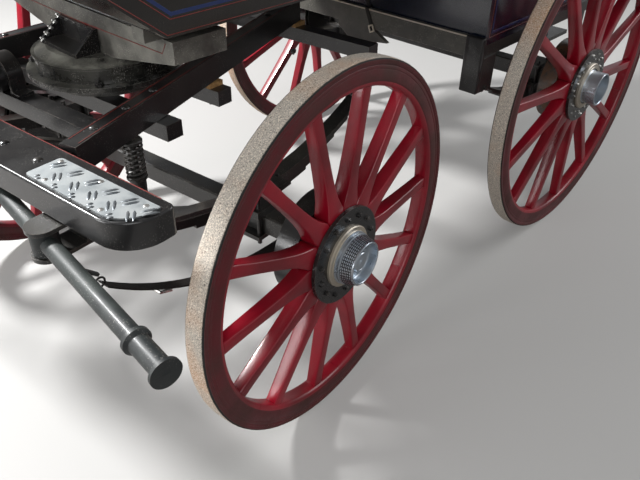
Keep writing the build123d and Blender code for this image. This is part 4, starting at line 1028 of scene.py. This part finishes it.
reds = [
    line([(0.1602, 0.350, 0.9720), (0.1602, 0.335, 0.9480), (0.1602, 0.0, 0.9430)], 0.0018, (1, 0, 0)),
    panel_line(BOOT_SIDE, 0.4500, 0.006, 0.0016),
    panel_line(BOOT_SIDE, 0.4500, 0.034, 0.0016),
    panel_line(BODY_SIDE, 0.5000, 0.022, 0.0022),
    panel_line(BENCH_BACK, 0.6900, 0.022, 0.0022),
]
blues = [
    panel_line(BOOT_SIDE, 0.4500, 0.043, 0.0075),
    panel_line(BODY_SIDE, 0.5000, 0.036, 0.0075),
    panel_line(BENCH_BACK, 0.6900, 0.036, 0.0075),
]
ready(moved(both(joined(reds)), ON_BODY), "body_lining", "carriage_body", lining_red)
ready(moved(both(joined(blues)), ON_BODY), "body_band", "carriage_body", lining_blue)

# %% [markdown]
# Everything is held by forged bolts with hexagon nuts, and wooden members by round-headed coach
# bolts. Both are modelled once. A short table says where each sits and which way it looks.

# %% Nuts and coach bolts
def looking(way):
    return Vector(way).to_track_quat("Z", "Y").to_matrix().to_4x4()


def nuts_at(spots, across=0.019, high=0.009, bolt_r=0.005, proud=0.006):
    one = nut(across, high, bolt_r, proud)
    return repeated(one, [Matrix.Translation(spot) @ looking(way) for spot, way in spots])


def coach_bolts_at(spots, radius=0.010):
    outline = [(0.0, 0.45 * radius), (0.4 * radius, 0.42 * radius), (0.75 * radius, 0.28 * radius),
               (0.95 * radius, 0.08 * radius), (radius, -0.05 * radius)]
    head = spun(outline, 20, "Z")
    return repeated(head, [Matrix.Translation(spot) @ looking(way) for spot, way in spots])


UP, DOWN = (0, 0, 1), (0, 0, -1)
KINGPIN_X = 0.105
BOLT_RING_R, BAND_R = 0.179, 0.1672
RING_BOLTS = [(KINGPIN_X + BOLT_RING_R * cos(radians(a)), BOLT_RING_R * sin(radians(a))) for a in (47, 133)]
fore_nuts = [((x, y, 0.8342), UP) for x, y in RING_BOLTS]
under_futchells = ((0.200, 0.760), (-0.005, 0.760), (-0.443, 0.749))
fore_nuts += [((x, futchell_spot(x, 0)[1], low), DOWN) for x, low in under_futchells]
fore_heads = [(futchell_spot(x, 0), RISE_UP) for x in (0.385, 0.290, 0.200, -0.005, -0.30, -0.425)]
fore_heads += [((0.517, y, BOARD_TOP), UP) for y in (0.090, 0.220, 0.330)]
ready(moved(both(nuts_at(fore_nuts)), ON_FORE), "fore_nuts", "fore_carriage", iron_black)
ready(moved(both(coach_bolts_at(fore_heads)), ON_FORE), "fore_bolts", "fore_carriage",
      iron_black)

# %% [markdown]
# The band of the turntable is closed with a joint, and the bracket behind the pole carries a row
# of bright nuts along one edge. They are smaller nuts of the same form.

# %% Bracket nuts and ring joint
along_edge = (0.05, 0.28, 0.51, 0.74, 0.97)
bracket_nuts = [((0.164 + 0.056 * t, -0.0760, 0.9400 - 0.050 * t), (0.67, 0, 0.74)) for t in along_edge]
ready(moved(nuts_at(bracket_nuts, 0.013, 0.007, 0.0035, 0.006), ON_BODY), "bracket_nuts", "carriage_body",
      bright_metal)
joint_way = Vector((cos(radians(15.2)), sin(radians(15.2)), 0))
joint_at = Vector((KINGPIN_X, 0, 0)) + joint_way * BAND_R
joint_low, joint_high = joint_at + Vector((0, 0, 0.836)), joint_at + Vector((0, 0, 0.867))
ring_joint = bevelled(bar(joint_low, joint_high, 0.0022, 0.0012, joint_way), 0.0004, 1)
# Here the dark metal is the joint's own dark line, not painted shade.
ready(moved(ring_joint, ON_BODY), "ring_joint", "carriage_body", knurl_shade_and_joint_dark)

# %% [markdown]
# Between each futchell and an arm on the axle stands a damper with a coil round it. A turned
# stand-in would show rings and not a spring, so one small circle is drawn out along a screw.

# %% Coil dampers
COIL_LOW, COIL_PITCH, COIL_TURNS = 0.692, 0.0115, 7


def coil_spring(radius, wire):
    deselect()
    bpy.ops.mesh.primitive_circle_add(vertices=8, radius=wire)
    piece = bpy.context.object
    piece.data.transform(Matrix.Translation((radius, 0, COIL_LOW)) @ Matrix.Rotation(pi / 2, 4, "X"))
    screw = piece.modifiers.new("screw", "SCREW")
    screw.axis = "Z"
    screw.screw_offset = COIL_PITCH
    screw.iterations = COIL_TURNS
    screw.steps = screw.render_steps = 20
    screw.use_merge_vertices = True
    only(piece)
    bpy.ops.object.modifier_apply(modifier=screw.name)
    return piece


def coil_damper():
    coil_top = COIL_LOW + COIL_PITCH * COIL_TURNS
    outline = [
        (0.0, 0.7935), (0.0135, 0.7935), (0.0135, 0.7860), (0.0210, 0.7830), (0.0235, 0.7800),
        (0.0235, coil_top + 0.002), (0.0080, coil_top + 0.001), (0.0080, COIL_LOW + 0.002),
        (0.0235, COIL_LOW - 0.001), (0.0235, COIL_LOW - 0.005), (0.0185, COIL_LOW - 0.009),
        (0.0175, 0.640), (0.0130, 0.632), (0.0110, 0.622), (0.0145, 0.616), (0.0148, 0.604), (0.0, 0.600),
    ]
    rod = spun(outline, 28, "Z")
    start, end = Vector((-0.2562, 0, 0.475)), Vector((0.014, 0, 0.601))
    up = Vector((-0.126, 0, 0.270)).normalized()
    arm = bevelled(bar(start - up * 0.006, end - up * 0.006, 0.034, 0.012, up), 0.0015, 2)
    foot = bevelled(start_cube((-0.2622, -0.017, 0.457), (-0.2502, 0.017, 0.493)), 0.0015, 2)
    return moved(joined([rod, arm, foot, coil_spring(0.0202, 0.0030)]), Matrix.Translation((0.290, 0.306, 0)))


dampers = moved(both(coil_damper()), ON_FORE)
ready(dampers, "coil_dampers", "fore_carriage", spring_black)
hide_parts("front_dampers")

# %% [markdown]
# Leather and its buckles: each check strap has a bright buckle where it doubles back, and a short
# strap with a clasp hangs on the front wall over the sill. A buckle is a plate whose middle is
# inset and pushed through.

# %% Buckles and straps
def buckle(long, wide, thick, frame_wide):
    piece = start_cube((-long / 2, -wide / 2, 0), (long / 2, wide / 2, thick))
    pick_faces(piece, lambda middle, normal: abs(normal.z) > 0.9)
    bpy.ops.mesh.inset(thickness=frame_wide)
    bpy.ops.mesh.bridge_edge_loops()
    bpy.ops.object.mode_set(mode="OBJECT")
    return bevelled(piece, thick * 0.25, 2)


def strap_buckle(y):
    seat = Matrix.Translation((0.445, y, 0.5830)) @ Matrix.Rotation(radians(-22), 4, "Y")
    return moved(buckle(0.034, 0.036, 0.0055, 0.006), seat)


buckles = joined([strap_buckle(0.5369), strap_buckle(-0.530)])
ready(moved(buckles, ON_FORE), "strap_buckles", "fore_carriage", bright_metal)

wall_strap = joined([
    bar((-0.8996, 0.020, 0.815), (-0.8996, 0.0375, 0.776), 0.015, 0.0025, (1, 0, 0), 0.001),
    bar((-0.8990, 0.0375, 0.7752), (-0.8832, 0.0385, 0.7752), 0.015, 0.0025, (0, 0, 1), 0.002),
    bar((-0.8835, 0.0385, 0.7765), (-0.8835, 0.0700, 0.7060), 0.015, 0.0025, (1, 0, 0), 0.001),
])
wall_strap = moved(bevelled(wall_strap, 0.0007, 2), ON_BODY)
ready(wall_strap, "wall_strap", "carriage_body", leather)
clasp_seat = (
    Matrix.Translation((-0.8808, 0.0672, 0.7125))
    @ Matrix.Rotation(pi / 2, 4, "Y")
    @ Matrix.Rotation(radians(24), 4, "Z")
)
ready(moved(moved(buckle(0.026, 0.022, 0.005, 0.005), clasp_seat), ON_BODY), "wall_clasp", "carriage_body",
      base_metal)
post_case = bevelled(start_cube((-0.9020, 0.4430, 0.5970), (-0.8790, 0.5070, 0.7772)), 0.004, 3)
ready(moved(both(post_case), ON_BODY), "post_cases", "carriage_body", black_gloss)
sill_edge = line([(-0.8837, -0.499, 0.7725), (-0.8837, 0.499, 0.7725)], 0.0045, (1, 0, 0), 0.0010)
ready(moved(sill_edge, ON_BODY), "sill_edge", "carriage_body", base_metal)

# %% [markdown]
# The cushions are leather stuffed with horsehair. A box with rounded corners would look like foam,
# so each starts as a slim rounded block and is blown up as a closed cloth, which pulls its sides in
# between the corners. How far a point may move is capped. After that the buttons are drawn in
# and a button is set in each hollow.

# %% Stuffed cushions
TO_BODY = ON_BODY.inverted()
SWELL_FRAMES = 20
HOLLOW_REACH, HOLLOW_DEEP, HOLLOW_WIDE = 0.035, 0.013, 0.028
BUTTON_R, BUTTON_SUNK = 0.011, 0.011
INSIDE_BOX = 0.0006


def node_box(name):
    """A node's lowest and highest corners, in carriage metres."""
    low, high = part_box(name)
    return TO_BODY @ Vector(low), TO_BODY @ Vector(high)


def blown_up(piece, cap, pressure=4.0):
    """Let a closed cloth swell under pressure and stop every point at the cap."""
    only(piece)
    before = [vertex.co.copy() for vertex in piece.data.vertices]
    cloth = piece.modifiers.new("cloth", "CLOTH")
    cloth.settings.use_pressure = True
    cloth.settings.uniform_pressure_force = pressure
    cloth.settings.effector_weights.gravity = 0
    for number in range(1, SWELL_FRAMES + 1):
        bpy.context.scene.frame_set(number)
    bpy.ops.object.modifier_apply(modifier=cloth.name)
    bpy.context.scene.frame_set(1)
    for vertex, start in zip(piece.data.vertices, before):
        step = vertex.co - start
        if step.length > cap:
            vertex.co = start + step.normalized() * cap
    return piece


def cushion(low, high, face, buttons, slim=0.010, voxel=0.008):
    """A stuffed pad between two corners, with hollows for its buttons on the side called face."""
    low, high, face = Vector(low), Vector(high), Vector(face)
    inset = Vector((slim, slim, slim * 0.8))
    piece = bevelled(start_cube(low + inset, high - inset), 0.016, 3)
    only(piece)
    remesh = piece.modifiers.new("remesh", "REMESH")
    remesh.mode = "VOXEL"
    remesh.voxel_size = voxel
    bpy.ops.object.modifier_apply(modifier=remesh.name)
    blown_up(piece, slim)
    for vertex in piece.data.vertices:
        for spot in buttons:
            away = vertex.co - Vector(spot)
            out = away.dot(face)
            beside = (away - face * out).length
            if abs(out) < HOLLOW_REACH:
                vertex.co -= face * HOLLOW_DEEP * 2.718 ** (-(beside / HOLLOW_WIDE) ** 2)
    for vertex in piece.data.vertices:
        for axis in range(3):
            vertex.co[axis] = min(max(vertex.co[axis], low[axis] + INSIDE_BOX), high[axis] - INSIDE_BOX)
    smoothing = piece.modifiers.new("smoothing", "SUBSURF")
    smoothing.levels = smoothing.render_levels = 1
    only(piece)
    bpy.ops.object.modifier_apply(modifier=smoothing.name)
    heads = coach_bolts_at([(Vector(spot) - face * BUTTON_SUNK, face) for spot in buttons], BUTTON_R)
    return joined([piece, heads])


def grid(xs, ys):
    return [(x, y) for x in xs for y in ys]


# %% [markdown]
# The driver sits on a cushion with two rows of five buttons and leans on a slim one with two more.
# The benches run the length of the body, so their pads take wider voxels and fewer faces.

# %% Put the cushions in place
BUTTONS_ACROSS = (-0.33, -0.165, 0.0, 0.165, 0.33)
low, high = node_box("driver_cushion")
spots = [(x, y, high.z - 0.002) for x, y in grid((-0.50, -0.24), BUTTONS_ACROSS)]
driver_seat = cushion(low, high, (0, 0, 1), spots)
ready(moved(driver_seat, ON_BODY), "driver_cushion_soft", "carriage_body", leather, 80)
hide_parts("driver_cushion")

low, high = node_box("driver_back")
spots = [(high.x - 0.002, y, z) for z, y in grid((1.61, 1.71), BUTTONS_ACROSS)]
driver_rest = cushion(low, high, (1, 0, 0), spots, slim=0.007)
ready(moved(driver_rest, ON_BODY), "driver_back_soft", "carriage_body", leather, 80)
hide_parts("driver_back")

low, high = node_box("bench_cushions")
columns = [low.x + (high.x - low.x) * part for part in (0.1, 0.3, 0.5, 0.7, 0.9)]
seat_low, seat_high = (low.x, 0.294, 1.1984), (high.x, 0.6655, 1.2735)
rest_low, rest_high = (low.x, 0.6230, 1.2750), (high.x, 0.6690, 1.4925)
seat_spots = [(x, y, 1.2715) for x, y in grid(columns, (0.40, 0.54))]
rest_spots = [(x, 0.6250, z) for x, z in grid(columns, (1.34, 1.43))]
seat = cushion(seat_low, seat_high, (0, 0, 1), seat_spots, voxel=0.014)
rest = cushion(rest_low, rest_high, (0, -1, 0), rest_spots, slim=0.007, voxel=0.012)
benches = both(joined([seat, rest]))
ready(moved(benches, ON_BODY), "bench_cushions_soft", "carriage_body", leather, 80)
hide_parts("bench_cushions")

# %% [markdown]
# The door at the back is lined out like the panels beside it. Its strips belong to the door, so
# they swing with it.

# %% Lining on the rear door
low, high = node_box("rear_door")
DOOR = [(-0.214, 0.788), (0.214, 0.788), (0.214, 1.367), (-0.214, 1.367)]
door_lines = (
    # name, distance from the edge, width, finish
    ("door_lining", 0.020, 0.0022, lining_red),
    ("door_band", 0.033, 0.0075, lining_blue),
)
for name, by, wide, finish in door_lines:
    corners = [(low.x, y, z) for y, z in shrunk(DOOR, by)]
    ready(moved(line(corners, wide, (-1, 0, 0), closed=True), ON_BODY), name, "door", finish)

# %% [markdown]
# The rear wheels carry the old brake drums, brown with rust behind the wheel and black in front of
# it. The drum is one node, so its finish is told apart by how far a point lies from the middle.

# %% Rusty rear drums
RUST_FROM, RUST_BLEND = 0.62, 0.004


def rusty_behind(material, y_limit):
    """Mix rust into a paint on the side of the wheel that looks at the carriage."""
    tree = material.node_tree
    shader = tree.nodes["Principled BSDF"]
    place = add(tree, "ShaderNodeTexCoord").outputs["Object"]
    across = math(tree, "ABSOLUTE", add(tree, "ShaderNodeSeparateXYZ", {0: place}).outputs["Y"])
    behind = between(tree, across, y_limit + RUST_BLEND, y_limit - RUST_BLEND)
    clouds = add(tree, "ShaderNodeTexNoise", {
        "Vector": place, "Scale": 26.0, "Detail": 6.0, "Roughness": 0.7})
    cover = math(tree, "MULTIPLY", behind, between(tree, clouds.outputs["Fac"], 0.38, 0.60))
    paint = shader.inputs["Base Color"].links[0].from_socket
    tree.links.new(mixed(tree, cover, paint, rgb(0.13, 0.060, 0.026)), shader.inputs["Base Color"])
    dull = shader.inputs["Roughness"].links[0].from_socket
    rough = math(tree, "MAXIMUM", dull, math(tree, "MULTIPLY", cover, 0.8))
    tree.links.new(rough, shader.inputs["Roughness"])
    return material


wheel_y = abs((TO_BODY @ wheel_at["rear", "left"]).y)
print("rust starts at", RUST_FROM, "m and the wheel stands at", round(wheel_y, 3), "m from the middle")
rear_drum = rusty_behind(iron_black.copy(), RUST_FROM)
rear_drum.name = "rusty_drum"
for side in ("left", "right"):
    for material_slot in nodes[f"drum_rear_{side}"].material_slots:
        material_slot.material = rear_drum
